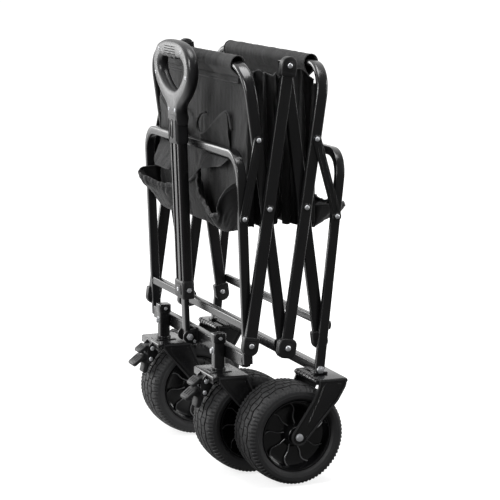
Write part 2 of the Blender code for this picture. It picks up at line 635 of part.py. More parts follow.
def add_basket_sides(end, sy):
    """Half of the basket's two sides and floor, open at the top and both ends."""
    depth, z0, z1 = 0.056, 0.4850, 0.7120
    floor_t = 0.004
    y, z = sy * (0.0015 + depth / 2), (z0 + z1) / 2
    trough = box((0, y, z), (0.474, depth, z1 - z0))
    inside = box((0, y, z + floor_t), (0.467, depth + 0.02, z1 - z0))
    piece(f"basket_{end}_sides", f"sides_{end}", CLOTH, [trough], [inside])


# ------------------------------------------------------------------ the cart
add_pivots()
add_crossbars()
add_handle_bracket()
add_handle_tubes()
add_handle_grip()
for end, sy in ENDS:
    add_bail(end, sy)
    add_end_frame(end, sy)
    add_basket_hem(end, sy)
    add_basket_panel(end, sy)
    add_basket_sides(end, sy)
for side, sx in SIDES:
    for end, sy in ENDS:
        add_bar(side, sx, end, sy)
        add_link(side, sx, end, sy)
    add_bail_foot_cap(side, sx)
    add_hinge_pin(side, sx)
    add_front_fork(side, sx)
    add_caster_socket(side, sx)
    add_pedals(side, sx)
    add_rear_fork(side, sx)
    add_wheel(side, sx, "front", f"caster_{side}")
    add_wheel(side, sx, "rear", "rear_frame")

pivots["hinge_base"][0].location.y += ORIGIN_SHIFT_Y
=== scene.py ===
# A folding cart, standing folded: two crossed pairs of bars and two bails carry a cloth basket
# between leaning end frames with four wheels, and a pull handle stands up the front.
# Metres. X runs across the cart (right is +X), the front faces -Y and Z is up from the ground.
# Hard parts are modelled about the fold's centre plane y = 0, then moved by Y_SHIFT.
from math import acos, atan2, cos, hypot, pi, radians, sin, sqrt, tan

import bmesh
import bpy
import numpy as np
from mathutils import Matrix, Vector, noise


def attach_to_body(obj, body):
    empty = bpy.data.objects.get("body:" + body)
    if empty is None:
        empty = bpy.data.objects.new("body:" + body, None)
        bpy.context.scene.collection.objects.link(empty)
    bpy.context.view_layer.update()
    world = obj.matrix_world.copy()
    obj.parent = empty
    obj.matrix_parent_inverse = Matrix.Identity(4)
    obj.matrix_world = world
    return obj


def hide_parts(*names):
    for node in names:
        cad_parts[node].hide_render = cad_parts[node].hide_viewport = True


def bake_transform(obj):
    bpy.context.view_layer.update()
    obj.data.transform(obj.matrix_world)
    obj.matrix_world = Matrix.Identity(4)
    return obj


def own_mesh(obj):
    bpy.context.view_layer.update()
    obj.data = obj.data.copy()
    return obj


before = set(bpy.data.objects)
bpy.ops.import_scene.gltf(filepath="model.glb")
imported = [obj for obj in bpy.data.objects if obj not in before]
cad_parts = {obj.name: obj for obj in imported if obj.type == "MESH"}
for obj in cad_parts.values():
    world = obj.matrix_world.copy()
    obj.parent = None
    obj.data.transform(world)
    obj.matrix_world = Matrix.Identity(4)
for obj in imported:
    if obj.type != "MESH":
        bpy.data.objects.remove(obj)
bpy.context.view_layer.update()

# ------------------------------------------------------------------ driving dimensions
Y_SHIFT = 0.0166                # from the fold's centre plane to the cart's own origin
TOP_Z = 0.7510                  # top pivot of the crossed bars
SCISSOR_ANGLE = radians(8.04)   # of the bars and bails from upright
BAR_SPAN = 0.500                # top pivot to foot pivot
CROSS_REACH = 0.2544            # top pivot to the crossing, and crossing to the base hinge
LEG_LINK = 0.2262               # foot pivot up the leg to the link
BAIL_LINK = 0.1228              # crossing up the bail to the link
BAIL_LENGTH = 0.507
FRONT_LEAN, REAR_LEAN = radians(2.3), radians(5.8)
OUTER_X, INNER_X = 0.266, 0.252  # the two layers of tube
TUBE_WIDE, TUBE_THIN = 0.022, 0.012
BAIL_CORNER, FRAME_CORNER = 0.055, 0.045
BAIL_FOOT = 0.013               # lengths below the pivots
FRONT_FOOT, REAR_FOOT = 0.0364, 0.0612
FRAME_TOP = 0.338
FRONT_LOWER_RAIL_Z = 0.2248
WHEEL_RADIUS = 0.0916
FRONT_WHEEL, REAR_WHEEL = (0.153, -0.0333), (0.257, 0.0083)  # x, y
SWIVEL_Y = -0.0876
HANDLE_Y, HANDLE_Z = -0.0945, 0.2252

BASE_Z = TOP_Z - 2 * CROSS_REACH * cos(SCISSOR_ANGLE)
FOOT_Y = BAR_SPAN * sin(SCISSOR_ANGLE)
FOOT_Z = TOP_Z - BAR_SPAN * cos(SCISSOR_ANGLE)
CROSS_Y = CROSS_REACH * sin(SCISSOR_ANGLE)
CROSS_Z = TOP_Z - CROSS_REACH * cos(SCISSOR_ANGLE)
LINK_Y = CROSS_Y + BAIL_LINK * sin(SCISSOR_ANGLE)
LINK_Z = CROSS_Z + BAIL_LINK * cos(SCISSOR_ANGLE)
BAIL_TOP_Y = BAIL_LENGTH * sin(SCISSOR_ANGLE)
BAIL_TOP_Z = BASE_Z + BAIL_LENGTH * cos(SCISSOR_ANGLE)

SIDES = (("right", 1), ("left", -1))
FACES = ((1, "a"), (-1, "b"))   # the +X and -X faces of a part


def leg_y(z, lean):
    return FOOT_Y + (z - FOOT_Z) * tan(lean)


# ------------------------------------------------------------------ materials
def new_material(name):
    material = bpy.data.materials.new(name)
    material.use_nodes = True
    tree = material.node_tree
    return material, tree, tree.nodes["Principled BSDF"]


def add(tree, kind, **inputs):
    node = tree.nodes.new(kind)
    for key, value in inputs.items():
        node.inputs[key.replace("_", " ")].default_value = value
    return node


def link(tree, output, target):
    tree.links.new(output, target)


def scaled(colour, factor):
    return tuple(c * factor for c in colour)


def ramp(tree, source, low, high):
    """A colour ramp between two (position, colour) stops."""
    node = tree.nodes.new("ShaderNodeValToRGB")
    for stop, (position, colour) in zip(node.color_ramp.elements, (low, high)):
        stop.position, stop.color = position, (*colour, 1)
    link(tree, source, node.inputs["Fac"])
    return node.outputs["Color"]


def noise_tex(tree, vector, scale, detail, roughness=0.55):
    node = add(tree, "ShaderNodeTexNoise", Scale=scale, Detail=detail, Roughness=roughness)
    link(tree, vector, node.inputs["Vector"])
    return node.outputs["Fac"]


def bump(tree, height, strength, distance, normal=None):
    node = add(tree, "ShaderNodeBump", Strength=strength, Distance=distance)
    link(tree, height, node.inputs["Height"])
    if normal is not None:
        link(tree, normal, node.inputs["Normal"])
    return node.outputs["Normal"]


def coated(name, colour, roughness, grain, grain_scale, dust_amount,
           dust=(0.10, 0.095, 0.09), metallic=0.0, coat=0.0):
    """A painted or moulded surface: fine grain, softer patches and specks of dust."""
    material, tree, shader = new_material(name)
    position = tree.nodes.new("ShaderNodeTexCoord").outputs["Object"]
    fine = noise_tex(tree, position, scale=grain_scale, detail=3.0)
    patches = noise_tex(tree, position, scale=22.0, detail=5.0)
    specks = noise_tex(tree, position, scale=420.0, detail=2.0)
    base = ramp(tree, patches, low=(0.30, scaled(colour, 0.85)), high=(0.75, scaled(colour, 1.2)))
    mix = tree.nodes.new("ShaderNodeMix")
    mix.data_type = "RGBA"
    mix.inputs[7].default_value = (*dust, 1)
    link(tree, base, mix.inputs[6])
    dusted = ramp(tree, specks, low=(0.62, (0, 0, 0)), high=(0.80, (dust_amount,) * 3))
    link(tree, dusted, mix.inputs[0])
    link(tree, mix.outputs[2], shader.inputs["Base Color"])
    rough = ramp(tree, patches, low=(0.25, (roughness * 0.85,) * 3),
                 high=(0.80, (min(1.0, roughness * 1.25),) * 3))
    link(tree, rough, shader.inputs["Roughness"])
    link(tree, bump(tree, fine, strength=grain, distance=0.0004), shader.inputs["Normal"])
    shader.inputs["Metallic"].default_value = metallic
    shader.inputs["Coat Weight"].default_value = coat
    shader.inputs["Coat Roughness"].default_value = 0.25
    material.diffuse_color = (*colour, 1)
    return material


PAINT = coated("frame_paint", colour=(0.0065, 0.0065, 0.0070), roughness=0.21, grain=0.12,
               grain_scale=900.0, coat=0.35, dust_amount=0.05)
PLASTIC = coated("cap_plastic", colour=(0.0095, 0.0095, 0.0100), roughness=0.40, grain=0.35,
                 grain_scale=1400.0, dust_amount=0.06)
GRIP_FACE = coated("grip_plastic", colour=(0.0175, 0.0175, 0.0185), roughness=0.30, grain=0.22,
                   grain_scale=1500.0, dust_amount=0.03)
GRIP_DARK = coated("grip_overmould", colour=(0.0100, 0.0100, 0.0110), roughness=0.44, grain=0.30,
                   grain_scale=1500.0, dust_amount=0.04)
PEDAL = coated("pedal_plastic", colour=(0.014, 0.0142, 0.0150), roughness=0.46, grain=0.35,
               grain_scale=1300.0, dust_amount=0.06)
RIM = coated("rim_plastic", colour=(0.0035, 0.0035, 0.0040), roughness=0.22, grain=0.10,
             grain_scale=1200.0, coat=0.4, dust_amount=0.03)
RUBBER = coated("tyre_rubber", colour=(0.0190, 0.0190, 0.0200), roughness=0.60, grain=0.50,
                grain_scale=1000.0, dust=(0.12, 0.115, 0.11), dust_amount=0.14)
# a lighter copy of the frame paint: painted highlight along the forks' edge borders
PAINT_EDGE_HIGHLIGHT = coated("frame_paint_edge", colour=(0.028, 0.028, 0.029), roughness=0.22, grain=0.12,
                    grain_scale=900.0, coat=0.35, dust_amount=0.05)
# a light grey copy of the rim plastic on the ribs' tops: painted highlight
RIM_RIB_HIGHLIGHT = coated("rim_rib_highlight", colour=(0.130, 0.130, 0.134), roughness=0.24, grain=0.10,
                  grain_scale=1200.0, dust_amount=0.0)
# near-black rubber: painted shade on the tyres' groove floors and block cuts, and on the grip's
# groove lines
RUBBER_GROOVE_SHADE = coated("tyre_groove_shade", colour=(0.0035, 0.0035, 0.0038), roughness=0.85, grain=0.30,
                     grain_scale=1000.0, dust_amount=0.0)
ZINC = coated("zinc_plate", colour=(0.62, 0.63, 0.65), roughness=0.30, grain=0.15,
              grain_scale=700.0, metallic=0.6, dust_amount=0.0)


def woven(name, colour, pitch, mesh=False):
    """Woven cloth: crossed threads along the sheet's own grid, creases and a soft sheen."""
    material, tree, shader = new_material(name)
    uv = tree.nodes.new("ShaderNodeTexCoord").outputs["UV"]
    position = tree.nodes.new("ShaderNodeTexCoord").outputs["Object"]
    threads = []
    for axis in ("X", "Y"):
        wave = add(tree, "ShaderNodeTexWave", Scale=1.0 / pitch / 6.2832, Distortion=0.6,
                   Detail=1.0, Detail_Scale=2.0)
        wave.bands_direction = axis
        link(tree, uv, wave.inputs["Vector"])
        threads.append(wave.outputs["Fac"])
    weave = tree.nodes.new("ShaderNodeMath")
    weave.operation = "MULTIPLY" if mesh else "MAXIMUM"
    for thread, target in zip(threads, weave.inputs):
        link(tree, thread, target)
    patches = noise_tex(tree, position, scale=30.0, detail=6.0, roughness=0.6)
    creases = noise_tex(tree, position, scale=85.0, detail=5.0, roughness=0.6)
    base = ramp(tree, patches, low=(0.32, scaled(colour, 0.75)), high=(0.72, scaled(colour, 1.35)))
    dark = tree.nodes.new("ShaderNodeMix")
    dark.data_type = "RGBA"
    dark.blend_type = "MULTIPLY"
    dark.inputs[0].default_value = 0.55 if mesh else 0.30
    link(tree, base, dark.inputs[6])
    link(tree, weave.outputs[0], dark.inputs[7])
    link(tree, dark.outputs[2], shader.inputs["Base Color"])
    shader.inputs["Roughness"].default_value = 0.78
    shader.inputs["Sheen Weight"].default_value = 0.12
    shader.inputs["Sheen Roughness"].default_value = 0.45
    shader.inputs["Specular IOR Level"].default_value = 0.35
    normal = bump(tree, weave.outputs[0], strength=0.55, distance=0.0003)
    normal = bump(tree, creases, strength=0.35, distance=0.0030, normal=normal)
    link(tree, normal, shader.inputs["Normal"])
    material.diffuse_color = (*colour, 1)
    return material


CLOTH = woven("oxford_cloth", colour=(0.0105, 0.0105, 0.0110), pitch=0.0007)
# a lighter copy of the oxford cloth: painted highlight on the pocket's rim band and its flaps
CLOTH_HIGHLIGHT = woven("oxford_cloth_highlight", colour=(0.022, 0.022, 0.023), pitch=0.0007)
NET = woven("net_cloth", colour=(0.0085, 0.0085, 0.0090), pitch=0.0022, mesh=True)
# lighter than the cloth: painted highlight along rolled edges, folds and pocket mouths
PIPING_HIGHLIGHT = woven("piping", colour=(0.048, 0.048, 0.049), pitch=0.0010)
THREAD = coated("thread", colour=(0.045, 0.045, 0.046), roughness=0.7, grain=0.4,
                grain_scale=3000.0, dust_amount=0.0)

# a slot name for each material of a hard part
SLOTS = {m.name: slot for m, slot in (
    (PAINT, "frame_steel"), (PAINT_EDGE_HIGHLIGHT, "frame_steel"), (PLASTIC, "black_plastic"),
    (GRIP_FACE, "grip"), (GRIP_DARK, "grip"), (PEDAL, "pedal"), (RIM, "rim"),
    (RUBBER, "tyre"), (ZINC, "zinc"))}


# ------------------------------------------------------------------ shape helpers
def add_object(name, mesh, material):
    mesh.materials.append(material)
    mesh.shade_smooth()
    obj = bpy.data.objects.new(name, mesh)
    bpy.context.scene.collection.objects.link(obj)
    return obj


def mesh_object(bm, name, material, y_shift=Y_SHIFT):
    bmesh.ops.recalc_face_normals(bm, faces=bm.faces)
    bmesh.ops.translate(bm, vec=(0, y_shift, 0), verts=bm.verts)
    mesh = bpy.data.meshes.new(name)
    bm.to_mesh(mesh)
    bm.free()
    return add_object(name, mesh, material)


def place(bm, name, material, body, piece=None, slot=None, smooth=38):
    """Turns a hard part into an object that rides on body and may replace a CAD piece."""
    obj = mesh_object(bm, name, material)
    obj.data.set_sharp_from_angle(angle=radians(smooth))
    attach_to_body(obj, body)
    if piece:
        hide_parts(piece)
    slot or SLOTS[material.name]
    return obj


def merge(shapes):
    whole = shapes[0]
    for shape in shapes[1:]:
        mesh = bpy.data.meshes.new("tmp")
        shape.to_mesh(mesh)
        whole.from_mesh(mesh)
        bpy.data.meshes.remove(mesh)
        shape.free()
    return whole


def move(bm, matrix):
    bmesh.ops.transform(bm, matrix=matrix, verts=bm.verts)
    return bm


def sharp_bevel(bm, width, segments=2, angle=radians(35)):
    edges = [e for e in bm.edges if len(e.link_faces) == 2 and e.calc_face_angle() > angle]
    bmesh.ops.bevel(bm, geom=edges, offset=width, segments=segments, profile=0.5,
                    affect="EDGES", clamp_overlap=True)


def box(centre, size, bevel, segments=2):
    bm = bmesh.new()
    bmesh.ops.create_cube(bm, size=1.0)
    bmesh.ops.scale(bm, vec=size, verts=bm.verts)
    sharp_bevel(bm, bevel, segments)
    return move(bm, Matrix.Translation(centre))


def turn_to(start, direction):
    """The rotation that takes start's direction to direction."""
    return Vector(start).rotation_difference(Vector(direction)).to_matrix().to_4x4()


def rod(start, end, radius, segments=20, bevel=0.0):
    start, end = Vector(start), Vector(end)
    bm = bmesh.new()
    bmesh.ops.create_cone(bm, cap_ends=True, segments=segments, radius1=radius, radius2=radius,
                          depth=(end - start).length)
    if bevel:
        sharp_bevel(bm, bevel, 2, radians(60))
    return move(bm, Matrix.Translation((start + end) / 2) @ turn_to((0, 0, 1), end - start))


def x_rod(x0, x1, y, z, radius, segments=20, bevel=0.0):
    return rod((x0, y, z), (x1, y, z), radius, segments, bevel)


def hex_nut(centre, axis, radius, height):
    bm = bmesh.new()
    bmesh.ops.create_cone(bm, cap_ends=True, segments=6, radius1=radius, radius2=radius,
                          depth=height)
    sharp_bevel(bm, 0.0009, 2, radians(40))
    return move(bm, Matrix.Translation(centre) @ turn_to((0, 0, 1), axis))


def join_rings(bm, rings):
    """Faces between neighbouring rings of vertices, each ring closed; returns them in order."""
    return [bm.faces.new((r0[j], r0[(j + 1) % len(r0)], r1[(j + 1) % len(r0)], r1[j]))
            for r0, r1 in zip(rings, rings[1:]) for j in range(len(r0))]


def sweep(points, a_axes, b_axes, section):
    """A section of (a, b) pairs carried along points, with closed ends."""
    bm = bmesh.new()
    rings = [[bm.verts.new(Vector(p) + Vector(n) * a + Vector(w) * b) for a, b in section]
             for p, n, w in zip(points, a_axes, b_axes)]
    join_rings(bm, rings)
    bm.faces.new(rings[0])
    bm.faces.new(list(reversed(rings[-1])))
    return bm


def lathe(profile, centre, side, steps, closed=False):
    """(x, radius) points turned about a line along X; side -1 mirrors them."""
    bm = bmesh.new()
    centre = Vector(centre)
    rings = []
    for i in range(steps):
        a = 2 * pi * i / steps
        rings.append([bm.verts.new(centre + Vector((side * x, r * cos(a), r * sin(a))))
                      if r > 1e-9 else None for x, r in profile])
    for j, (x, r) in enumerate(profile):
        if r <= 1e-9:
            pole = bm.verts.new(centre + Vector((side * x, 0, 0)))
            for ring in rings:
                ring[j] = pole
    n = len(profile)
    for i in range(steps):
        a, b = rings[i], rings[(i + 1) % steps]
        for j in range(n if closed else n - 1):
            corners = list(dict.fromkeys((a[j], a[(j + 1) % n], b[(j + 1) % n], b[j])))
            if len(corners) > 2:
                bm.faces.new(corners)
    return bm


def arc(cx, cy, radius, start, end, steps):
    return [(cx + radius * cos(start + (end - start) * i / steps),
             cy + radius * sin(start + (end - start) * i / steps)) for i in range(steps + 1)]


def circle(radius, steps):
    return arc(0, 0, radius, 0, 2 * pi, steps)[:-1]


def rounded(width, height, radius, steps=5, cx=0.0, cy=0.0):
    points = []
    for sx, sy, a in ((1, 1, 0), (-1, 1, pi / 2), (-1, -1, pi), (1, -1, 1.5 * pi)):
        points += arc(cx + sx * (width / 2 - radius), cy + sy * (height / 2 - radius), radius,
                      a, a + pi / 2, steps)
    return points


def cap_outline(width, height, cy, up):
    """Half round at its outer end (up is 1 or -1), nearly square at the other."""
    corner = 0.003
    points = arc(0, height / 2 - width / 2, width / 2, 0, pi, 18)
    points += arc(-width / 2 + corner, -height / 2 + corner, corner, pi, 1.5 * pi, 4)
    points += arc(width / 2 - corner, -height / 2 + corner, corner, 1.5 * pi, 2 * pi, 4)
    return [(x, cy + up * y) for x, y in points]


def neighbours(points, i):
    return (Vector(points[(i + j) % len(points)]) for j in (-1, 0, 1))


def inset(points, distance):
    """The outline moved inwards by distance."""
    k = len(points)
    area = sum(points[i][0] * points[(i + 1) % k][1] - points[(i + 1) % k][0] * points[i][1]
               for i in range(k))
    turn = 1 if area > 0 else -1
    moved = []
    for i in range(k):
        a, b, c = neighbours(points, i)
        t0, t1 = (b - a).normalized(), (c - b).normalized()
        n0, n1 = Vector((-t0.y, t0.x)) * turn, Vector((-t1.y, t1.x)) * turn
        n = (n0 + n1).normalized()
        q = b + n * (distance / max(0.35, n.dot(n0)))
        moved.append((q.x, q.y))
    return moved


def soften(points, radius, steps=5):
    """The outline with its corners rounded by about radius."""
    soft = []
    for i in range(len(points)):
        a, b, c = neighbours(points, i)
        u, v = a - b, c - b
        if u.angle(v) > radians(168):
            soft.append((b.x, b.y))
            continue
        p0 = b + u.normalized() * min(radius, u.length * 0.45)
        p1 = b + v.normalized() * min(radius, v.length * 0.45)
        for q in range(steps + 1):
            t = q / steps
            w = p0 * (1 - t) ** 2 + b * 2 * t * (1 - t) + p1 * t * t
            soft.append((w.x, w.y))
    return soft


def plate(outlines, thickness, matrix, bevel, segments=2, angle=radians(50)):
    """A flat plate with a bevelled edge; a second outline is a hole."""
    curve = bpy.data.curves.new("outline", "CURVE")
    curve.dimensions = "2D"
    curve.fill_mode = "BOTH"
    curve.extrude = thickness / 2
    for outline in outlines:
        spline = curve.splines.new("POLY")
        spline.points.add(len(outline) - 1)
        for point, (x, y) in zip(spline.points, outline):
            point.co = (x, y, 0, 1)
        spline.use_cyclic_u = True
    obj = bpy.data.objects.new("outline", curve)
    bpy.context.scene.collection.objects.link(obj)
    obj.matrix_world = matrix
    bpy.context.view_layer.update()
    graph = bpy.context.evaluated_depsgraph_get()
    mesh = bpy.data.meshes.new_from_object(obj.evaluated_get(graph))
    bm = bmesh.new()
    bm.from_mesh(mesh)
    move(bm, obj.matrix_world)
    bpy.data.objects.remove(obj, do_unlink=True)
    bpy.data.meshes.remove(mesh)
    bmesh.ops.remove_doubles(bm, verts=bm.verts, dist=1e-6)
    bmesh.ops.recalc_face_normals(bm, faces=bm.faces)
    bmesh.ops.dissolve_limit(bm, angle_limit=radians(0.5), verts=bm.verts, edges=bm.edges)
    sharp_bevel(bm, bevel, segments, angle)
    return bm


def side_plane(x, origin=(0, 0), tilt=0.0):
    """Outlines drawn as (y, z) about origin, turned by tilt, at this x."""
    turn = Matrix(((0, 0, 1), (cos(tilt), -sin(tilt), 0), (sin(tilt), cos(tilt), 0))).to_4x4()
    return Matrix.Translation((x, *origin)) @ turn


def level(z):
    return Matrix.Translation((0, 0, z))


def rivet(name, body, centre, side, radius, height, washer=0.0):
    """A domed rivet facing along X, with an optional washer of the given radius."""
    lift = 0.0
    if washer:
        lift = 0.0004
        ring = [(-0.0008, 0), (-0.0008, washer), (0.0007, washer), (0.0011, washer - 0.0005),
                (0.0011, 0)]
        place(lathe(ring, centre, side, 28), f"{name}_washer", PAINT, body, smooth=60)
    profile = [(0.0002, 0), (0.0002, radius)]
    profile += [(0.0008 + (height - 0.0008) * sin(a) + lift, radius * cos(a) * (1 - 0.06 * sin(a)))
                for a in np.linspace(0.0, pi / 2 - 0.12, 6)]
    profile += [(height * 0.96 + lift, 0)]
    place(lathe(profile, centre, side, 24), name, ZINC, body, smooth=60)


# ------------------------------------------------------------------ hoops and rails
BAIL_SECTION = rounded(TUBE_THIN, TUBE_WIDE, 0.0052, 6)
BAR_SECTION = rounded(TUBE_THIN, TUBE_WIDE, 0.0030, 5)


def hoop(name, body, piece, half_width, top, foot, corner, base, tilt, section,
         depth_scale=1.0, top_scale=1.0):
    """An upside-down U of flattened tube on a tilted plane; top_scale thickens its top run."""
    up = Vector((0, -sin(tilt), cos(tilt)))
    through = Vector((0, cos(tilt), sin(tilt)))
    origin = Vector((0, *base))
    leg = np.linspace(-foot, top - corner, 14)
    path = [(half_width, s) for s in leg[:-1]]
    path += arc(half_width - corner, top - corner, corner, 0, pi / 2, 14)
    path += arc(-half_width + corner, top - corner, corner, pi / 2, pi, 14)
    path += [(-half_width, s) for s in leg[::-1][1:]]
    normals = [(1, 0)] * 13
    for start in (0, pi / 2):
        normals += [(cos(a), sin(a)) for a in np.linspace(start, start + pi / 2, 15)]
    normals += [(-1, 0)] * 13
    points = [origin + Vector((x, 0, 0)) + up * s for x, s in path]
    outwards = [(Vector((a, 0, 0)) + up * b) * (1 + (top_scale - 1) * abs(b) ** 1.5)
                for a, b in normals]
    bm = sweep(points, outwards, [through * depth_scale] * len(points), section)
    place(bm, name, PAINT, body, piece, smooth=50)


def straight_bar(name, body, piece, start, end, section, a_axis, cuts):
    start, end = Vector(start), Vector(end)
    b_axis = (end - start).normalized().cross(a_axis).normalized()
    points = [start.lerp(end, i / cuts) for i in range(cuts + 1)]
    bm = sweep(points, [a_axis] * len(points), [b_axis] * len(points), section)
    place(bm, name, PAINT, body, piece, smooth=50)


for end, half_width, tilt in (("front", INNER_X, SCISSOR_ANGLE), ("rear", OUTER_X, -SCISSOR_ANGLE)):
    hoop(f"{end}_bail_tube", f"{end}_bail", f"{end}_bail_hoop", half_width, BAIL_LENGTH,
         BAIL_FOOT, BAIL_CORNER, (0, BASE_Z), tilt, BAIL_SECTION)
for end, half_width, foot, foot_y, tilt in (
        ("front", INNER_X, FRONT_FOOT, -FOOT_Y, FRONT_LEAN),
        ("rear", OUTER_X, REAR_FOOT, FOOT_Y, -REAR_LEAN)):
    hoop(f"{end}_frame_tube", f"{end}_frame", f"{end}_end_frame", half_width, FRAME_TOP, foot,
         FRAME_CORNER, (foot_y, FOOT_Z), tilt, BAR_SECTION,
         depth_scale=0.0172 / TUBE_WIDE, top_scale=1.28)

# end, its sign in y, lean, half width, then rows of: name, z, height, depth, offset outwards
RAILS = (
    ("front", -1, FRONT_LEAN, INNER_X, (("upper", 0.2880, 0.015, 0.014, 0.0),
                                        ("lower", FRONT_LOWER_RAIL_Z, 0.024, 0.016, 0.0))),
    ("rear", 1, REAR_LEAN, OUTER_X, (("upper", 0.2810, 0.015, 0.010, 0.0118),
                                     ("lower", 0.2040, 0.018, 0.015, 0.0))),
)
WELD_PROFILE = [(-0.004, 0.0), (-0.004, 0.0085), (-0.0012, 0.0098), (0.0004, 0.0102), (0.0004, 0)]


def rail(end, sy, lean, half_width, row, z, height, depth, offset):
    """A crossbar between the legs, with a weld collar at each end."""
    inner = half_width - TUBE_THIN / 2 - 0.0002
    y = sy * (leg_y(z, lean) + offset)
    straight_bar(f"{end}_{row}_rail", f"{end}_frame", f"{end}_{row}_crossbar", (-inner, y, z),
                 (inner, y, z), rounded(height, depth, 0.0022, 4), Vector((0, 0, 1)), cuts=4)
    for side, sx in SIDES:
        weld = lathe(WELD_PROFILE, (sx * (inner - 0.0003), y, z), sx, 20)
        bmesh.ops.scale(weld, vec=(1, depth / 0.0175, height / 0.0185),
                        space=Matrix.Translation((-sx * inner, -y, -z)), verts=weld.verts)
        place(weld, f"{end}_{row}_weld_{side[0]}", PAINT, f"{end}_frame", smooth=60)


for end, sy, lean, half_width, rows in RAILS:
    for row in rows:
        rail(end, sy, lean, half_width, *row)


# ------------------------------------------------------------------ crossed bars and links
CAP_OUT = 0.0006        # an outer cap's middle from its tube's
CAP_THICK = 0.0159


def scissor_cap(name, body, piece, side_sign, at, tilt, up, outer, width, height):
    """A cap on a bar's end; caps on the outer bars also have a boss and a groove."""
    cy = -0.0015
    x = side_sign * ((OUTER_X + CAP_OUT) if outer else (INNER_X - 0.0001))
    origin = (at.y, at.z)
    parts = [plate([cap_outline(width, height, cy, up)], CAP_THICK if outer else 0.0150,
                   side_plane(x, origin, tilt), bevel=0.0018, segments=3)]
    if outer:
        parts.append(plate([circle(0.0082, 28)], 0.0012,
                           side_plane(x + side_sign * 0.0082, origin, tilt), bevel=0.0004))
        groove = rounded(width - 0.006, 0.0016, 0.0007, 2, 0, -up * (height / 2 - 0.0055) + cy)
        parts.append(plate([groove], 0.0010, side_plane(x + side_sign * 0.0080, origin, tilt),
                           bevel=0.0002))
    place(merge(parts), name, PLASTIC, body, piece)
    return x


def scissor_bar(end, sy, layer, side, sx):
    tilt = sy * SCISSOR_ANGLE
    body = f"{end}_bars"
    outer = layer == OUTER_X
    along = Matrix.Rotation(tilt, 3, "X") @ Vector((0, 0, 1))
    top = Vector((sx * layer, 0, TOP_Z))
    foot = Vector((sx * layer, sy * FOOT_Y, FOOT_Z))
    straight_bar(f"{end}_scissor_{side}", body, f"{end}_bar_{side}", foot - along * 0.010,
                 top + along * 0.009, BAR_SECTION, Vector((1, 0, 0)), cuts=8)
    # tip, pivot, direction of the round end, width, height
    tips = [("foot", foot, -1, 0.029, 0.034)]
    if end == "front":
        tips.append(("top", top, 1, 0.0285, 0.035))
    for tip, at, up, width, height in tips:
        x = scissor_cap(f"{end}_{tip}_cap_moulding_{side}", body, f"{end}_{tip}_cap_{side}",
                        sx, at, tilt, up, outer, width, height)
        name = f"{end}_{tip}_rivet_{side}"
        if outer:
            rivet(name, body, (x + sx * 0.0086, at.y, at.z), sx, radius=0.0048, height=0.0030)
        else:
            rivet(name, body, (sx * (layer - 0.0078), at.y, at.z), -sx, radius=0.0048,
                  height=0.0028)


def link_strip(end, sy, lean, x, side, sx):
    """The flat link from a leg to a bail, with a raised rib and a rivet at each end."""
    y = sy * (FOOT_Y + LEG_LINK * sin(lean))
    z = FOOT_Z + LEG_LINK * cos(lean)
    dy, dz = sy * LINK_Y - y, LINK_Z - z
    length, tilt = hypot(dy, dz), -atan2(dy, dz)
    half_width, rib_half, rib_end = 0.0082, 0.0046, 0.014
    outline = arc(0, length, half_width, 0, pi, 14) + arc(0, 0, half_width, pi, 2 * pi, 14)
    rib = arc(0, length - rib_end, rib_half, 0, pi, 8) + arc(0, rib_end, rib_half, pi, 2 * pi, 8)
    parts = [plate([outline], 0.003, side_plane(sx * x, (y, z), tilt), bevel=0.0006),
             plate([rib, inset(rib, 0.0014)], 0.0020, side_plane(sx * (x + 0.0014), (y, z), tilt),
                   bevel=0.0005)]
    place(merge(parts), f"{end}_link_strip_{side}", PAINT, f"{end}_links", f"{end}_link_{side}")
    for joint, body, at in (("leg", "frame", (y, z)), ("bail", "bail", (sy * LINK_Y, LINK_Z))):
        rivet(f"{end}_link_{joint}_rivet_{side}", f"{end}_{body}", (sx * (x + 0.0014), *at), sx,
              radius=0.0044, height=0.0032, washer=0.0068)


def base_hinge(side, sx):
    """Cap and washer at the bails' feet, and the pin through both."""
    at = (0, BASE_Z)
    cap = plate([rounded(0.0335, 0.0355, 0.0105, 8, 0, -0.001)], CAP_THICK,
                side_plane(sx * (OUTER_X + CAP_OUT), at, -SCISSOR_ANGLE), bevel=0.0018, segments=3)
    boss = plate([circle(0.0092, 28)], 0.0012,
                 side_plane(sx * (OUTER_X + 0.0088), at, -SCISSOR_ANGLE), bevel=0.0004)
    place(merge([cap, boss]), f"bottom_cap_moulding_{side}", PLASTIC, "rear_bail",
          f"rear_bail_foot_cap_{side}")
    washer = plate([rounded(0.029, 0.032, 0.0095, 6, 0, -0.001)], 0.0016,
                   side_plane(sx * (INNER_X - 0.0070), at, SCISSOR_ANGLE), bevel=0.0006)
    place(washer, f"bottom_inner_washer_{side}", PLASTIC, "front_bail")
    head, head_radius = OUTER_X + 0.0094, 0.0054
    pin = [(INNER_X - 0.0092, 0), (INNER_X - 0.0092, 0.0050), (INNER_X - 0.0078, 0.0064),
           (INNER_X - 0.0078, 0.0036), (head, 0.0036), (head, head_radius)]
    pin += [(head + 0.0032 * sin(a), head_radius * cos(a))
            for a in np.linspace(0.1, pi / 2 - 0.1, 5)]
    pin += [(OUTER_X + 0.0126, 0)]
    place(lathe(pin, (0, 0, BASE_Z), sx, 24), f"bottom_pin_{side}", ZINC, "hinge_base",
          f"bottom_hinge_pin_{side}", smooth=60)


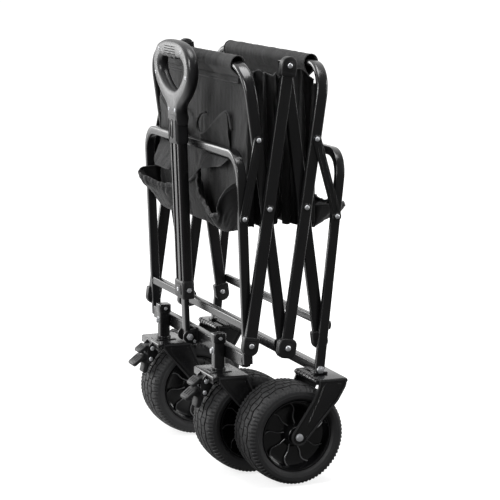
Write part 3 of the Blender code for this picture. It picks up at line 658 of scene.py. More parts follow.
for side, sx in SIDES:
    scissor_bar("front", -1, OUTER_X, side, sx)
    scissor_bar("rear", 1, INNER_X, side, sx)
    for end, sy, body in (("front", -1, "front_bars"), ("rear", 1, "rear_bail")):
        rivet(f"{end}_crossing_rivet_{side}", body,
              (sx * (OUTER_X + 0.006), sy * CROSS_Y, CROSS_Z), sx,
              radius=0.0046, height=0.0034, washer=0.0072)
    link_strip("front", -1, FRONT_LEAN, 0.2605, side, sx)
    link_strip("rear", 1, REAR_LEAN, 0.2739, side, sx)
    base_hinge(side, sx)

# ------------------------------------------------------------------ wheels
GROOVES = (-0.0262, -0.0090, 0.0090, 0.0262)    # x of the zigzag grooves
GROOVE_FLOOR, GROOVE_MOUTH = 0.0013, 0.0021     # half widths
TREAD_EDGE = 0.0375
PITCHES = 38                                    # tread repeats round the tyre
STATIONS = (0.0, 0.065, 0.130, 0.300, 0.500, 0.565, 0.630, 0.800)   # within one repeat
# (x, radius) up the -x sidewall, then over the shoulder
SIDEWALL = [
    (-0.0402, 0.0655), (-0.0432, 0.0668), (-0.0455, 0.0690), (-0.0462, 0.0694),
    (-0.0472, 0.0722), (-0.0480, 0.0762), (-0.0476, 0.0768), (-0.0478, 0.0795),
    (-0.0473, 0.0822)]
SHOULDER = [(-0.0466, 0.0836), (-0.0444, 0.0866), (-0.0412, 0.0884), (-0.0390, 0.0889)]


def triangle(t):
    """A triangle wave between -1 and 1."""
    t = t % 1.0
    return 4 * t - 1 if t < 0.5 else 3 - 4 * t


def crown(x):
    return WHEEL_RADIUS - 0.0003 - 0.0026 * (abs(x) / 0.036) ** 2.6


def tread_section(edges, station, u):
    """(x, radius) points across the tread at turn u, and which of them lie in a groove."""
    points, low = [], []
    for j, x in enumerate(edges):
        sway = 0.0
        in_tread = abs(x) < 0.0370
        if in_tread:
            row = min(range(4), key=lambda q: abs(GROOVES[q] - x))
            sway = 0.0024 * (1 if row % 2 else -1) * triangle(u * PITCHES / 2 + 0.25 * row)
        on_floor = min(abs(abs(x - g) - GROOVE_FLOOR) for g in GROOVES) < 1e-6
        depth = 0.0032 if in_tread and on_floor else 0.0
        points.append((x + sway, crown(x) - depth))
        low.append(depth > 0)
        if j + 1 < len(edges) and edges[j + 1] - edges[j] > 0.004:
            # alternate ribs are cut across at stations 1 and 5, which staggers the blocks
            cut = 0.0021 if station == (5 if (j // 4) % 2 else 1) else 0.0
            for q in (0.10, 0.5, 0.90):
                middle = x + (edges[j + 1] - x) * q
                points.append((middle + sway * (1 - q), crown(middle) - cut))
                low.append(cut > 0)
    return points, low


def tyre(name, body, centre, sx, piece, phase):
    """A wide tyre: staggered blocks, notched shoulders and stepped sidewalls."""
    edges = [-TREAD_EDGE, TREAD_EDGE]
    for g in GROOVES:
        edges += [g - GROOVE_MOUTH, g - GROOVE_FLOOR, g + GROOVE_FLOOR, g + GROOVE_MOUTH]
    edges.sort()
    bm = bmesh.new()
    rings, lows = [], []
    for p in range(PITCHES):
        for k, station in enumerate(STATIONS):
            u = (p + station) / PITCHES
            a = 2 * pi * (u + phase / 100)
            notch_x, notch_r = (0.0013, 0.0014) if k in (0, 1, 4, 5) else (0.0, 0.0)
            left = SIDEWALL + [(x + notch_x, r - notch_r) for x, r in SHOULDER]
            tread, low = tread_section(edges, k, u)
            right = [(-x, r) for x, r in reversed(left)]
            profile = left + tread + right + [(0.0300, 0.0660), (-0.0300, 0.0660)]
            lows.append([False] * len(left) + low + [False] * (len(right) + 2))
            c, s = cos(a), sin(a)
            rings.append([bm.verts.new(Vector(centre) + Vector((sx * x, r * c, r * s)))
                          for x, r in profile])
    count = len(rings[0])
    faces = join_rings(bm, rings + rings[:1])
    for index, face in enumerate(faces):
        i, j = divmod(index, count)
        low0, low1, after = lows[i], lows[(i + 1) % len(rings)], (j + 1) % count
        # faces on groove floors and block cuts take the near-black rubber: painted shade in the
        # tread's recesses
        face.material_index = int(low0[j] + low0[after] + low1[after] + low1[j] >= 2)
    obj = place(bm, name, RUBBER, body, piece, smooth=26)
    obj.data.materials.append(RUBBER_GROOVE_SHADE)


# (x, radius) of half the wheel disc, from the tyre's bead in to the axle hole
RIM_HALF = [
    (0.0402, 0.0656), (0.0420, 0.0642), (0.0420, 0.0626), (0.0400, 0.0614), (0.0372, 0.0606),
    (0.0330, 0.0598), (0.0270, 0.0588), (0.0238, 0.0574), (0.0222, 0.0545), (0.0214, 0.0480),
    (0.0212, 0.0300), (0.0220, 0.0235), (0.0250, 0.0205), (0.0330, 0.0190), (0.0425, 0.0178),
    (0.0440, 0.0165), (0.0440, 0.0110), (0.0425, 0.0100), (0.0425, 0.0064)]
RIBS = 9
RIB_INNER, RIB_OUTER = 0.0180, 0.0585
RIB_SWAY, RIB_SWEEP = 0.075, 0.26               # angles an S-shaped rib wanders and leans by


def rim_rib(centre, face, start):
    """One S-shaped rib standing on the disc's +x or -x face."""
    bm = bmesh.new()
    rings = []
    step = 0.0005
    for t in np.linspace(0, 1, 16):
        r = RIB_INNER + (RIB_OUTER - RIB_INNER) * t
        a = start + RIB_SWAY * sin(2 * pi * t) + RIB_SWEEP * t
        slope = RIB_SWAY * 2 * pi * cos(2 * pi * t) + RIB_SWEEP
        r2, a2 = r + step, a + slope * step / (RIB_OUTER - RIB_INNER)
        p = Vector((0, r * cos(a), r * sin(a)))
        d = (Vector((0, r2 * cos(a2), r2 * sin(a2))) - p).normalized()
        across = Vector((0, -d.z, d.y)) * 0.0012
        base, top = 0.0190, 0.0246 + 0.0030 * (1 - t) ** 3 + 0.0030 * t ** 4
        section = ((1, base), (1, top - 0.0008), (0.35, top), (-0.35, top), (-1, top - 0.0008),
                   (-1, base))
        rings.append([bm.verts.new(centre + p + across * k + Vector((face * x, 0, 0)))
                      for k, x in section])
    for index, f in enumerate(join_rings(bm, rings)):
        # the rib's top faces take the light grey rim plastic, a painted highlight
        f.material_index = int(index % 6 in (1, 2, 3))
    bm.faces.new(rings[0])
    bm.faces.new(list(reversed(rings[-1])))
    bmesh.ops.recalc_face_normals(bm, faces=bm.faces)
    return bm


def rim(name, body, centre, sx, piece, turn):
    profile = RIM_HALF + [(-x, r) for x, r in reversed(RIM_HALF)]
    shapes = [lathe(profile, centre, sx, 72, closed=True)]
    shapes += [rim_rib(Vector(centre), face, 2 * pi * k / RIBS + turn)
               for face in (1, -1) for k in range(RIBS)]
    obj = place(merge(shapes), name, RIM, body, piece, smooth=35)
    obj.data.materials.append(RIM_RIB_HIGHLIGHT)


def axle_bolt(end, x, y, body, side):
    z, face = WHEEL_RADIUS, 0.0535
    parts = [x_rod(x - 0.0590, x + 0.0590, y, z, 0.0038, 20, 0.0006)]
    for q in (1, -1):
        parts.append(x_rod(x + q * (face + 0.0002), x + q * (face + 0.0014), y, z,
                           0.0070, 28, 0.0003))
        parts.append(hex_nut((x + q * (face + 0.0036), y, z), (1, 0, 0), 0.0060, 0.0044))
    place(merge(parts), f"{end}_axle_bolt_{side}", ZINC, body, f"{end}_axle_{side}", smooth=40)


# ------------------------------------------------------------------ forks
# (y, z) outlines; each fork's two edges run from the top down to the round end at the axle
REAR_FORK_TOP = [(0.0455, 0.1930), (0.0985, 0.1930)]
REAR_FORK_BACK = [(0.0985, 0.1850), (0.0975, 0.1790), (0.0830, 0.1540)]
REAR_FORK_FRONT = [(0.0455, 0.1850), (0.0440, 0.1800), (0.0345, 0.1580)]
REAR_FORK_PANEL = [(0.0560, 0.1850), (0.0880, 0.1850), (0.0880, 0.1790), (0.0760, 0.1570),
                   (0.0330, 0.1080), (0.0235, 0.1130), (0.0450, 0.1570)]
FRONT_FORK_TOP = [(-0.1060, 0.1870), (-0.0500, 0.1870)]
FRONT_FORK_BACK = [(-0.0480, 0.1800), (-0.0420, 0.1660), (-0.0270, 0.1340)]
FRONT_FORK_FRONT = [(-0.1070, 0.1800), (-0.0990, 0.1680), (-0.0560, 0.1180)]
FRONT_FORK_PANEL = [(-0.0930, 0.1800), (-0.0560, 0.1800), (-0.0500, 0.1660), (-0.0370, 0.1370),
                    (-0.0340, 0.1150), (-0.0420, 0.1150), (-0.0560, 0.1310), (-0.0860, 0.1640)]
PEDAL_CHEEK = [(-0.0990, 0.1865), (-0.1165, 0.1865), (-0.1275, 0.1745), (-0.1280, 0.1480),
               (-0.1225, 0.1435), (-0.1150, 0.1480), (-0.1050, 0.1640)]


def fork_outline(top, back, front, axle_y, radius):
    """Joins the two edges with an arc round the axle that they meet as tangents."""
    def offset(edge):
        return edge[-1][0] - axle_y, edge[-1][1] - WHEEL_RADIUS
    (y0, z0), (y1, z1) = offset(back), offset(front)
    start = atan2(z0, y0) - acos(radius / hypot(y0, z0))
    end = atan2(z1, y1) + acos(radius / hypot(y1, z1))
    if end > start:
        end -= 2 * pi
    return top + back + arc(axle_y, WHEEL_RADIUS, radius, start, end, 18) + list(reversed(front))


def fork_wall(name, body, x, y, face, outline, panel, border, panel_size):
    """One wall of a fork: plate, panel and axle boss, with its edge border placed apart."""
    wall_x = x + face * 0.0520
    width, thickness, offset, bevel, segments = border
    parts = [plate([outline], 0.0028, side_plane(wall_x - face * 0.0002), bevel=0.0010)]
    # the border takes the lighter frame paint, a painted highlight along the fork's edge
    edge = plate([outline, inset(outline, width)], thickness, side_plane(wall_x + face * offset),
                 bevel=bevel, segments=segments, angle=radians(60))
    place(edge, name, PAINT_EDGE_HIGHLIGHT, body, smooth=50)
    thickness, bevel = panel_size
    parts.append(plate([soften(panel, 0.0050)], thickness, side_plane(wall_x + face * 0.0012),
                       bevel=bevel, segments=3, angle=radians(40)))
    parts.append(x_rod(x + face * 0.0503, x + face * 0.0452, y, WHEEL_RADIUS, 0.0085, 24, 0.0006))
    return parts


def rear_fork(side, sx, x, y):
    outline = soften(fork_outline(REAR_FORK_TOP, REAR_FORK_BACK, REAR_FORK_FRONT, y, 0.0150),
                     0.0035)
    parts = []
    for face, letter in FACES:
        # border: width, thickness, offset, bevel, segments; panel: thickness, bevel
        parts += fork_wall(f"rear_fork_border_{side}_{letter}", "rear_frame", x, y, face, outline,
                           REAR_FORK_PANEL, (0.0034, 0.0024, 0.0015, 0.0009, 3), (0.0018, 0.0008))
    parts.append(plate([rounded(0.1070, 0.0560, 0.006, 5, x, 0.0715)], 0.0036, level(0.1920),
                       bevel=0.0012, segments=3))
    half, front_y, back_y, z = 0.0510, 0.0450, 0.0985, 0.1885
    parts.append(x_rod(x - half, x + half, front_y, z, 0.0050, 24, 0.0012))
    for k in range(-3, 4):
        ring_x = x + k * 0.0135
        parts.append(x_rod(ring_x - 0.0022, ring_x + 0.0022, front_y, z, 0.0058, 24, 0.0008))
    parts.append(x_rod(x - half, x + half, back_y, z, 0.0042, 24, 0.0012))
    place(merge(parts), f"rear_fork_stamping_{side}", PAINT, "rear_frame", f"rear_fork_{side}",
          smooth=40)


def rear_leg_foot(side, sx):
    y, nut_z = leg_y(0.1990, REAR_LEAN), 0.2035
    nut = [hex_nut((sx * (OUTER_X + 0.0095), y - 0.001, nut_z), (1, 0, 0), 0.0070, 0.0052),
           x_rod(sx * (OUTER_X + 0.0055), sx * (OUTER_X + 0.0142), y - 0.001, nut_z,
                 0.0036, 18, 0.0006)]
    place(merge(nut), f"rear_leg_foot_nut_{side}", ZINC, "rear_frame", smooth=40)
    weld = box((sx * OUTER_X, y, 0.1965), (0.0180, 0.0270, 0.0055), bevel=0.0015, segments=3)
    place(weld, f"rear_leg_foot_weld_{side}", PAINT, "rear_frame")


def front_fork(side, x, y):
    body = f"caster_{side}"
    outline = soften(fork_outline(FRONT_FORK_TOP, FRONT_FORK_BACK, FRONT_FORK_FRONT, y, 0.0145),
                     0.0040)
    parts = []
    for face, letter in FACES:
        parts += fork_wall(f"front_fork_border_{side}_{letter}", body, x, y, face, outline,
                           FRONT_FORK_PANEL, (0.0032, 0.0020, 0.0014, 0.0007, 2),
                           (0.0016, 0.0007))
        parts.append(plate([PEDAL_CHEEK], 0.0025, side_plane(x + face * 0.0160), bevel=0.0007))
    parts.append(plate([rounded(0.1070, 0.0680, 0.007, 5, x, -0.0820)], 0.0040, level(0.1865),
                       bevel=0.0013, segments=3))
    parts.append(plate([rounded(0.0400, 0.0420, 0.006, 5, x, SWIVEL_Y)], 0.0022, level(0.1890),
                       bevel=0.0009))
    parts.append(rod((x, SWIVEL_Y, 0.1860), (x, SWIVEL_Y, 0.2480), 0.0050))
    parts.append(box((x, -0.1150, 0.1812), (0.1030, 0.0028, 0.0128), bevel=0.0010, segments=3))
    parts.append(box((x, -0.0492, 0.1838), (0.1030, 0.0026, 0.0080), bevel=0.0010, segments=3))
    place(merge(parts), f"front_fork_stamping_{side}", PAINT, body, f"front_fork_{side}",
          smooth=40)


def upright(x, stations, section):
    """A section swept up the swivel's line; stations are (z, scale)."""
    return sweep([Vector((x, SWIVEL_Y, z)) for z, _ in stations],
                 [Vector((1, 0, 0)) * k for _, k in stations],
                 [Vector((0, 1, 0)) * k for _, k in stations], section)


def caster_column(side, x):
    """A square tube with a collar on top, a bearing ring below and its bolts."""
    collar = ((0.2415, 0.95), (0.2425, 1), (0.2570, 1), (0.2582, 0.95))
    parts = [upright(x, [(z, 1) for z in np.linspace(0.1935, 0.2570, 6)],
                     rounded(0.0205, 0.0205, 0.0035, 4)),
             upright(x, collar, rounded(0.0245, 0.0240, 0.0040, 4)),
             rod((x, SWIVEL_Y, 0.1895), (x, SWIVEL_Y, 0.1950), 0.0140, 32, 0.0010)]
    place(merge(parts), f"caster_column_{side}", PAINT, "front_frame", f"caster_socket_{side}",
          smooth=40)
    z = 0.2260
    bolt = [hex_nut((x, SWIVEL_Y - 0.0128, z), (0, 1, 0), 0.0055, 0.0050),
            rod((x, SWIVEL_Y - 0.0100, z), (x, SWIVEL_Y - 0.0115, z), 0.0070, 24, 0.0003),
            x_rod(x - 0.0140, x + 0.0140, SWIVEL_Y, 0.2500, 0.0032, 18, 0.0006)]
    place(merge(bolt), f"caster_column_bolt_{side}", ZINC, "front_frame", smooth=40)


# ------------------------------------------------------------------ pedals
# (y, z) outlines
RELEASE_STEM = [(-0.1085, 0.1680), (-0.1085, 0.1775), (-0.1170, 0.1800), (-0.1290, 0.1790),
                (-0.1340, 0.1700), (-0.1240, 0.1665)]
BRAKE_STEM = [(-0.1150, 0.1490), (-0.1150, 0.1565), (-0.1200, 0.1595), (-0.1330, 0.1590),
              (-0.1400, 0.1480), (-0.1320, 0.1440), (-0.1320, 0.1380), (-0.1350, 0.1270),
              (-0.1315, 0.1235), (-0.1260, 0.1260), (-0.1220, 0.1380)]
BRAKE_SHOE = [(-0.1215, 0.1400), (-0.1265, 0.1260), (-0.1305, 0.1238), (-0.1244, 0.1226),
              (-0.1194, 0.1385)]


def pedal(x, stem, pad_at, size, lip):
    """A stem with a thick drooping pad, three raised bars on it and a rolled front lip."""
    width, length, height = size
    pad = Matrix.Translation((x, *pad_at)) @ Matrix.Rotation(radians(38), 4, "X")
    parts = [plate([soften(stem, 0.0022, 4)], 0.0240, side_plane(x), bevel=0.0012,
                   angle=radians(40)),
             plate([rounded(width, length, 0.0045, 5)], height, pad, bevel=0.0018, segments=3)]
    for k in (-1, 0, 1):
        at = Matrix.Translation((k * width * 0.27, 0.0010, height / 2 + 0.0004))
        parts.append(move(box((0, 0, 0), (0.0048, length * 0.50, 0.0016), bevel=0.0006), pad @ at))
    roll = x_rod(-width / 2 + 0.0030, width / 2 - 0.0030, 0, 0, lip, 20, 0.0008)
    parts.append(move(roll, pad @ Matrix.Translation((0, -length / 2 + lip * 0.8, 0.0))))
    return merge(parts)


def brake_spring(side, x):
    """Five turns of wire."""
    points = [Vector((x - 0.0040 + 0.0080 * t / 5.0, -0.1200 + 0.0072 * cos(2 * pi * t),
                      0.1640 + 0.0052 * sin(2 * pi * t))) for t in np.linspace(0, 5, 71)]
    a_axes = [Vector((1, 0, 0)) for _ in points]
    b_axes = [(points[min(i + 1, 70)] - points[max(i - 1, 0)]).normalized()
              .cross(a_axes[i]).normalized() for i in range(71)]
    place(sweep(points, a_axes, b_axes, circle(0.0007, 8)), f"brake_spring_{side}", ZINC,
          f"caster_{side}", smooth=60)


def pedals(side, x):
    release = pedal(x, RELEASE_STEM, (-0.1345, 0.1725), (0.0330, 0.0200, 0.0070), 0.0040)
    place(release, f"release_lever_{side}", PEDAL, f"release_{side}", f"release_pedal_{side}",
          smooth=40)
    brake = pedal(x, BRAKE_STEM, (-0.1440, 0.1500), (0.0350, 0.0270, 0.0075), 0.0044)
    place(brake, f"brake_lever_{side}", PEDAL, f"brake_{side}", f"brake_pedal_{side}", smooth=40)
    place(plate([BRAKE_SHOE], 0.0200, side_plane(x), bevel=0.0007), f"brake_shoe_{side}", ZINC,
          f"brake_{side}", smooth=40)
    for face, letter in FACES:
        for lever, y, z in (("release", -0.1170, 0.1735), ("brake", -0.1200, 0.1530)):
            rivet(f"{lever}_rivet_{side}_{letter}", f"caster_{side}", (x + face * 0.0172, y, z),
                  face, radius=0.0042, height=0.0026)
    brake_spring(side, x)


TREAD_PHASE = {"front_right": 1, "front_left": 5, "rear_right": 3, "rear_left": 2}
for side, sx in SIDES:
    wheels = [("front", sx * FRONT_WHEEL[0], FRONT_WHEEL[1], f"caster_{side}", 0.25),
              ("rear", sx * REAR_WHEEL[0], REAR_WHEEL[1], "rear_frame", 0.05)]
    for end, x, y, _, _ in wheels:
        tyre(f"{end}_tread_{side}", f"{end}_wheel_{side}", (x, y, WHEEL_RADIUS), sx,
             f"{end}_tyre_{side}", TREAD_PHASE[f"{end}_{side}"])
    for end, x, y, _, turn in wheels:
        rim(f"{end}_wheel_disc_{side}", f"{end}_wheel_{side}", (x, y, WHEEL_RADIUS), sx,
            f"{end}_rim_{side}", turn)
    for end, x, y, body, _ in wheels:
        axle_bolt(end, x, y, body, side)
    front_x = sx * FRONT_WHEEL[0]
    rear_fork(side, sx, sx * REAR_WHEEL[0], REAR_WHEEL[1])
    rear_leg_foot(side, sx)
    front_fork(side, front_x, FRONT_WHEEL[1])
    caster_column(side, front_x)
    pedals(side, front_x)

# ------------------------------------------------------------------ handle
# the handle's own frame: x across, s up it from its pivot, d out of its front
HANDLE_ORIGIN = Vector((0, HANDLE_Y, HANDLE_Z))
HANDLE_UP = Vector((0, -sin(FRONT_LEAN), cos(FRONT_LEAN)))
HANDLE_FRONT = Vector((0, -cos(FRONT_LEAN), -sin(FRONT_LEAN)))
HANDLE_PLANE = Matrix.Translation(HANDLE_ORIGIN) @ Matrix((
    (1, 0, 0),
    (0, -sin(FRONT_LEAN), -cos(FRONT_LEAN)),
    (0, cos(FRONT_LEAN), -sin(FRONT_LEAN)))).to_4x4()


def handle_point(x, s, d=0.0):
    return HANDLE_ORIGIN + Vector((x, 0, 0)) + HANDLE_UP * s + HANDLE_FRONT * d


def handle_plate(outlines, thickness, d, bevel, segments=2):
    return plate(outlines, thickness, HANDLE_PLANE @ level(d), bevel, segments)


def handle_sweep(section, stations):
    """A section of (x, towards the back) swept up; stations are (s, x scale, depth scale)."""
    return sweep([handle_point(0, s) for s, _, _ in stations],
                 [Vector((k, 0, 0)) for _, k, _ in stations],
                 [-HANDLE_FRONT * k for _, _, k in stations], section)


def screw_head(profile, x, s, d, face=1):
    at = Matrix.Translation(handle_point(x, s, d))
    return move(lathe(profile, (0, 0, 0), 1, 20), at @ turn_to((1, 0, 0), HANDLE_FRONT * face))


def handle_bracket():
    plate_y = -leg_y(FRONT_LOWER_RAIL_Z, FRONT_LEAN) - 0.0083
    ear_y, low, high = plate_y - 0.0015, 0.2105, 0.2400
    ear = [(ear_y, low), (ear_y, high), (ear_y - 0.009, high)]
    ear += arc(HANDLE_Y, HANDLE_Z, 0.012, radians(110), radians(250), 14)
    ear += [(ear_y - 0.009, low)]
    parts = [box((0, plate_y - 0.0017, 0.22525), (0.039, 0.0034, 0.0325), bevel=0.0008)]
    parts += [plate([ear], 0.0035, side_plane(x), bevel=0.0007) for x in (0.01575, -0.01575)]
    place(merge(parts), "handle_bracket_plates", PAINT, "front_frame", "handle_bracket", smooth=40)
    head = [(-0.0177, 0), (-0.0177, 0.0064), (-0.0195, 0.0062), (-0.0215, 0.0045), (-0.0222, 0)]
    bolt = [x_rod(-0.0225, 0.0235, HANDLE_Y, HANDLE_Z, 0.0030, 20, 0.0005),
            hex_nut((0.0200, HANDLE_Y, HANDLE_Z), (1, 0, 0), 0.0066, 0.0044),
            lathe(head, HANDLE_ORIGIN, 1, 24)]
    place(merge(bolt), "handle_bracket_bolt", ZINC, "front_frame", "handle_pivot_bolt", smooth=40)
    for face, letter in FACES:
        rivet(f"bracket_rivet_{letter}", "front_frame",
              (face * 0.0176, plate_y - 0.0035 - 0.0040, 0.2160), face,
              radius=0.0030, height=0.0016)


def handle_tubes():
    inner = [(s, 1, 1) for s in np.linspace(-0.0115, 0.370, 10)]
    place(handle_sweep(rounded(0.022, 0.010, 0.0034, 5), inner), "handle_inner_bar", PAINT,
          "handle_lower", "handle_inner_tube", smooth=50)
    # outer tube: two shallow channels run up its front and its back
    side, face, groove = -0.046 / 2, -0.019 / 2, 0.0024
    half = [(side, face + 0.0040), (side + 0.0006, face + 0.0018), (side + 0.0018, face + 0.0005),
            (side + 0.0036, face), (-0.0162, face), (-0.0154, face + 0.0006),
            (-0.0148, face + groove), (-0.0068, face + groove), (-0.0062, face + 0.0006),
            (-0.0054, face)]
    front = half + [(-x, y) for x, y in reversed(half)]
    back = [(x, -y) for x, y in reversed(front)]
    outer = [(s, 1, 1) for s in np.linspace(0.0765, 0.4080, 14)]
    place(handle_sweep(front + back, outer), "handle_outer_channel", PAINT, "handle_upper",
          "handle_outer_tube", smooth=30)


# s, x scale, depth scale
COLLAR_STATIONS = ((0.0730, 0.93, 0.88), (0.0740, 0.97, 0.95), (0.0765, 1, 1),
                   (0.1035, 1, 1), (0.1060, 0.97, 0.95), (0.1072, 0.93, 0.88))
NECK_STATIONS = ((0.3660, 0.94, 0.90), (0.3680, 0.98, 0.96), (0.3720, 1, 1),
                 (0.4100, 1, 1), (0.4200, 1, 1))
# (height, radius)
COLLAR_SCREW = [(0, 0), (0, 0.0042), (0.0012, 0.0040), (0.0020, 0.0026), (0.0014, 0.0018),
                (0.0014, 0)]
GRIP_SCREW = [(0, 0), (0, 0.0034), (0.0010, 0.0032), (0.0016, 0.0020), (0.0010, 0.0013),
              (0.0010, 0)]


def handle_collar():
    """The lower collar with a screw on its face and a nut on each side."""
    s = 0.0900
    parts = [handle_sweep(rounded(0.0500, 0.0240, 0.0050, 6), COLLAR_STATIONS),
             handle_plate([rounded(0.0280, 0.0190, 0.0030, 5, 0, s)], 0.0014, 0.0124,
                          bevel=0.0006)]
    place(merge(parts), "handle_collar_moulding", PLASTIC, "handle_upper", "handle_collar",
          smooth=40)
    bolts = [screw_head(COLLAR_SCREW, 0.0, s, 0.0129)]
    bolts += [hex_nut(handle_point(q * 0.0262, s), (1, 0, 0), 0.0048, 0.0036) for q in (1, -1)]
    place(merge(bolts), "handle_collar_bolts", ZINC, "handle_upper", smooth=40)


def handle_neck():
    """The block under the grip, with a lipped slot on its front."""
    place(handle_sweep(rounded(0.0492, 0.0240, 0.0050, 6), NECK_STATIONS), "handle_neck_block",
          GRIP_DARK, "handle_upper", smooth=40)
    # the slot is a flat plate of near-black rim plastic: painted shade standing for its recess
    slot = rounded(0.0092, 0.0330, 0.0042, 6, -0.0040, 0.3925)
    place(handle_plate([slot], 0.0010, 0.0118, bevel=0.0003), "handle_neck_slot", RIM,
          "handle_upper", slot="black_plastic", smooth=40)
    lips = [handle_plate([inset(slot, -0.0016), slot], 0.0024, 0.0122, bevel=0.0006)]
    for q in (1, -1):
        ridge = rounded(0.0016, 0.0400, 0.0007, 3, q * 0.0196, 0.3910)
        lips.append(handle_plate([ridge], 0.0016, 0.0122, bevel=0.0005))
    place(merge(lips), "handle_neck_lips", GRIP_FACE, "handle_upper", smooth=40)


# (x, s) of the grip's right half, from the top down, and of its hole
GRIP_HALF = [
    (0.0, 0.5580), (0.022, 0.5576), (0.046, 0.5554), (0.068, 0.5500), (0.0855, 0.5400),
    (0.0960, 0.5265), (0.1002, 0.5110), (0.0990, 0.4950), (0.0915, 0.4800), (0.0775, 0.4645),
    (0.0600, 0.4505), (0.0430, 0.4400), (0.0310, 0.4300), (0.0262, 0.4200), (0.0244, 0.4080),
    (0.0240, 0.3990)]
HOLE_HALF = [
    (0.014, 0.5235), (0.032, 0.5252), (0.048, 0.5248), (0.0600, 0.5200), (0.0662, 0.5120),
    (0.0655, 0.5010), (0.0570, 0.4900), (0.0430, 0.4795), (0.0280, 0.4715), (0.013, 0.4668)]
GRIP_CENTRE = 0.5010
GRIP_STEPS = 168
# (x, s) on both faces
GRIP_SCREWS = ((-0.0610, 0.5385), (0.0610, 0.5385), (-0.0830, 0.4930), (0.0830, 0.4930),
               (-0.0165, 0.4290), (0.0165, 0.4290))


def catmull_rom(p0, p1, p2, p3, t):
    v = 0.5 * ((2 * p1) + (-p0 + p2) * t + (2 * p0 - 5 * p1 + 4 * p2 - p3) * t * t
               + (-p0 + 3 * p1 - 3 * p2 + p3) * t ** 3)
    return v.x, v.y


def smooth_loop(points):
    """A smooth closed curve with four steps between points."""
    k = len(points)
    curve = []
    for i in range(k):
        near = [Vector((*points[(i + j - 1) % k], 0)) for j in range(4)]
        curve += [catmull_rom(*near, q / 4) for q in range(4)]
    return curve


def reach(loop, a):
    """How far the loop lies from the grip's centre in direction a."""
    centre = Vector((0, GRIP_CENTRE))
    d = Vector((sin(a), cos(a)))
    best = 0.0
    for i in range(len(loop)):
        p, q = Vector(loop[i - 1]) - centre, Vector(loop[i]) - centre
        e = q - p
        den = d.x * e.y - d.y * e.x
        if abs(den) < 1e-12:
            continue
        t = (p.x * e.y - p.y * e.x) / den
        u = (p.x * d.y - p.y * d.x) / den
        if t > 0 and -1e-9 <= u <= 1 + 1e-9:
            best = max(best, t)
    return best


def grip():
    """The closed grip: a rounded section between its outline and its hole."""
    outer = smooth_loop(GRIP_HALF + [(-x, y) for x, y in reversed(GRIP_HALF[1:])])
    hole = []
    for x, y in smooth_loop(HOLE_HALF + [(0.0, 0.4655)]
                            + [(-x, y) for x, y in reversed(HOLE_HALF)] + [(0.0, 0.5235)]):
        # finger bumps along the top of the hole
        on_top = y > 0.517 and abs(x) < 0.050
        hole.append((x, y + (0.0013 * cos(x * 2 * pi / 0.0240) if on_top else 0.0)))
    bm = bmesh.new()
    rings = []
    for i in range(GRIP_STEPS):
        a = 2 * pi * i / GRIP_STEPS
        far, near = reach(outer, a), reach(hole, a)
        section = rounded(far - near, 0.0225, min(0.0104, (far - near) / 2 - 0.001), 6)
        middle = (far + near) / 2
        rings.append([bm.verts.new(handle_point(sin(a) * (middle + r),
                                                GRIP_CENTRE + cos(a) * (middle + r), d))
                      for r, d in section])
    join_rings(bm, rings + rings[:1])
    place(bm, "handle_grip_core", GRIP_FACE, "handle_upper", "handle_grip", smooth=60)


def grip_face(face, name):
    """Four dark lines, painted shade standing for grooves, and six screws on one face of the grip.
    """
    lines = [handle_plate([rounded(0.0580, 0.0015, 0.0007, 3, 0, 0.5462 - 0.0046 * k)], 0.0010,
                          face * 0.01100, bevel=0.0002, segments=1) for k in range(4)]
    place(merge(lines), f"handle_grip_grooves_{name}", RUBBER_GROOVE_SHADE, "handle_upper", slot="grip",
          smooth=50)
    screws = [screw_head(GRIP_SCREW, x, s, face * 0.0108, face) for x, s in GRIP_SCREWS]
    place(merge(screws), f"handle_grip_screws_{name}", ZINC, "handle_upper", smooth=40)


handle_bracket()
handle_tubes()
handle_collar()
handle_neck()
grip()
grip_face(1, "front")
grip_face(-1, "rear")

# ------------------------------------------------------------------ cloth helpers
SIMULATED = []  # sheets that go through the cloth simulation
UNFINISHED = []  # (finishing function, sheet, end, sy), carried out after the simulation


def wall_y(sy):
    """The y of an end panel's plane."""
    return sy * (BAIL_TOP_Y - 0.0065)


def fractions(count):
    return [i / (count - 1) for i in range(count)]


def point_grid(us, ts, point):
    """An array of point(u, t) with a row for each u."""
    return np.array([[point(u, t) for t in ts] for u in us], float)


def grid_mesh(name, points, material, y_shift=Y_SHIFT):
    """A sheet from an (nu, nv, 3) array, with a grid of UVs in metres."""
    nu, nv = points.shape[:2]
    faces = []
    for i in range(nu - 1):
        for j in range(nv - 1):
            a, b = i * nv + j, (i + 1) * nv + j
            faces.append((a, b, b + 1, a + 1))
    mesh = bpy.data.meshes.new(name)
    mesh.from_pydata([tuple(v) for v in points.reshape(-1, 3)], [], faces)
    du, dv = (np.concatenate([[0], np.cumsum(
        np.linalg.norm(np.diff(points, axis=axis), axis=2).mean(1 - axis))]) for axis in (0, 1))
    uv = mesh.uv_layers.new(name="UVMap")
    for loop in mesh.loops:
        i, j = divmod(loop.vertex_index, nv)
        uv.data[loop.index].uv = (du[i], dv[j])
    mesh.transform(Matrix.Translation((0, y_shift, 0)))
    return add_object(name, mesh, material)


def crumple(points, amount, size, seed, axis, mask=None):
    """Moves a grid along one axis by layered noise, to start creases."""
    k = "xyz".index(axis)
    nu, nv = points.shape[:2]
    for i in range(nu):
        for j in range(nv):
            v = Vector(points[i, j]) / size
            n = (noise.noise(v + Vector((seed, 0, 0)))
                 + 0.5 * noise.noise(v * 2.1 + Vector((0, seed, 0)))
                 + 0.25 * noise.noise(v * 4.3 + Vector((0, 0, seed))))
            points[i, j, k] += n * amount * (1.0 if mask is None else mask[i, j])


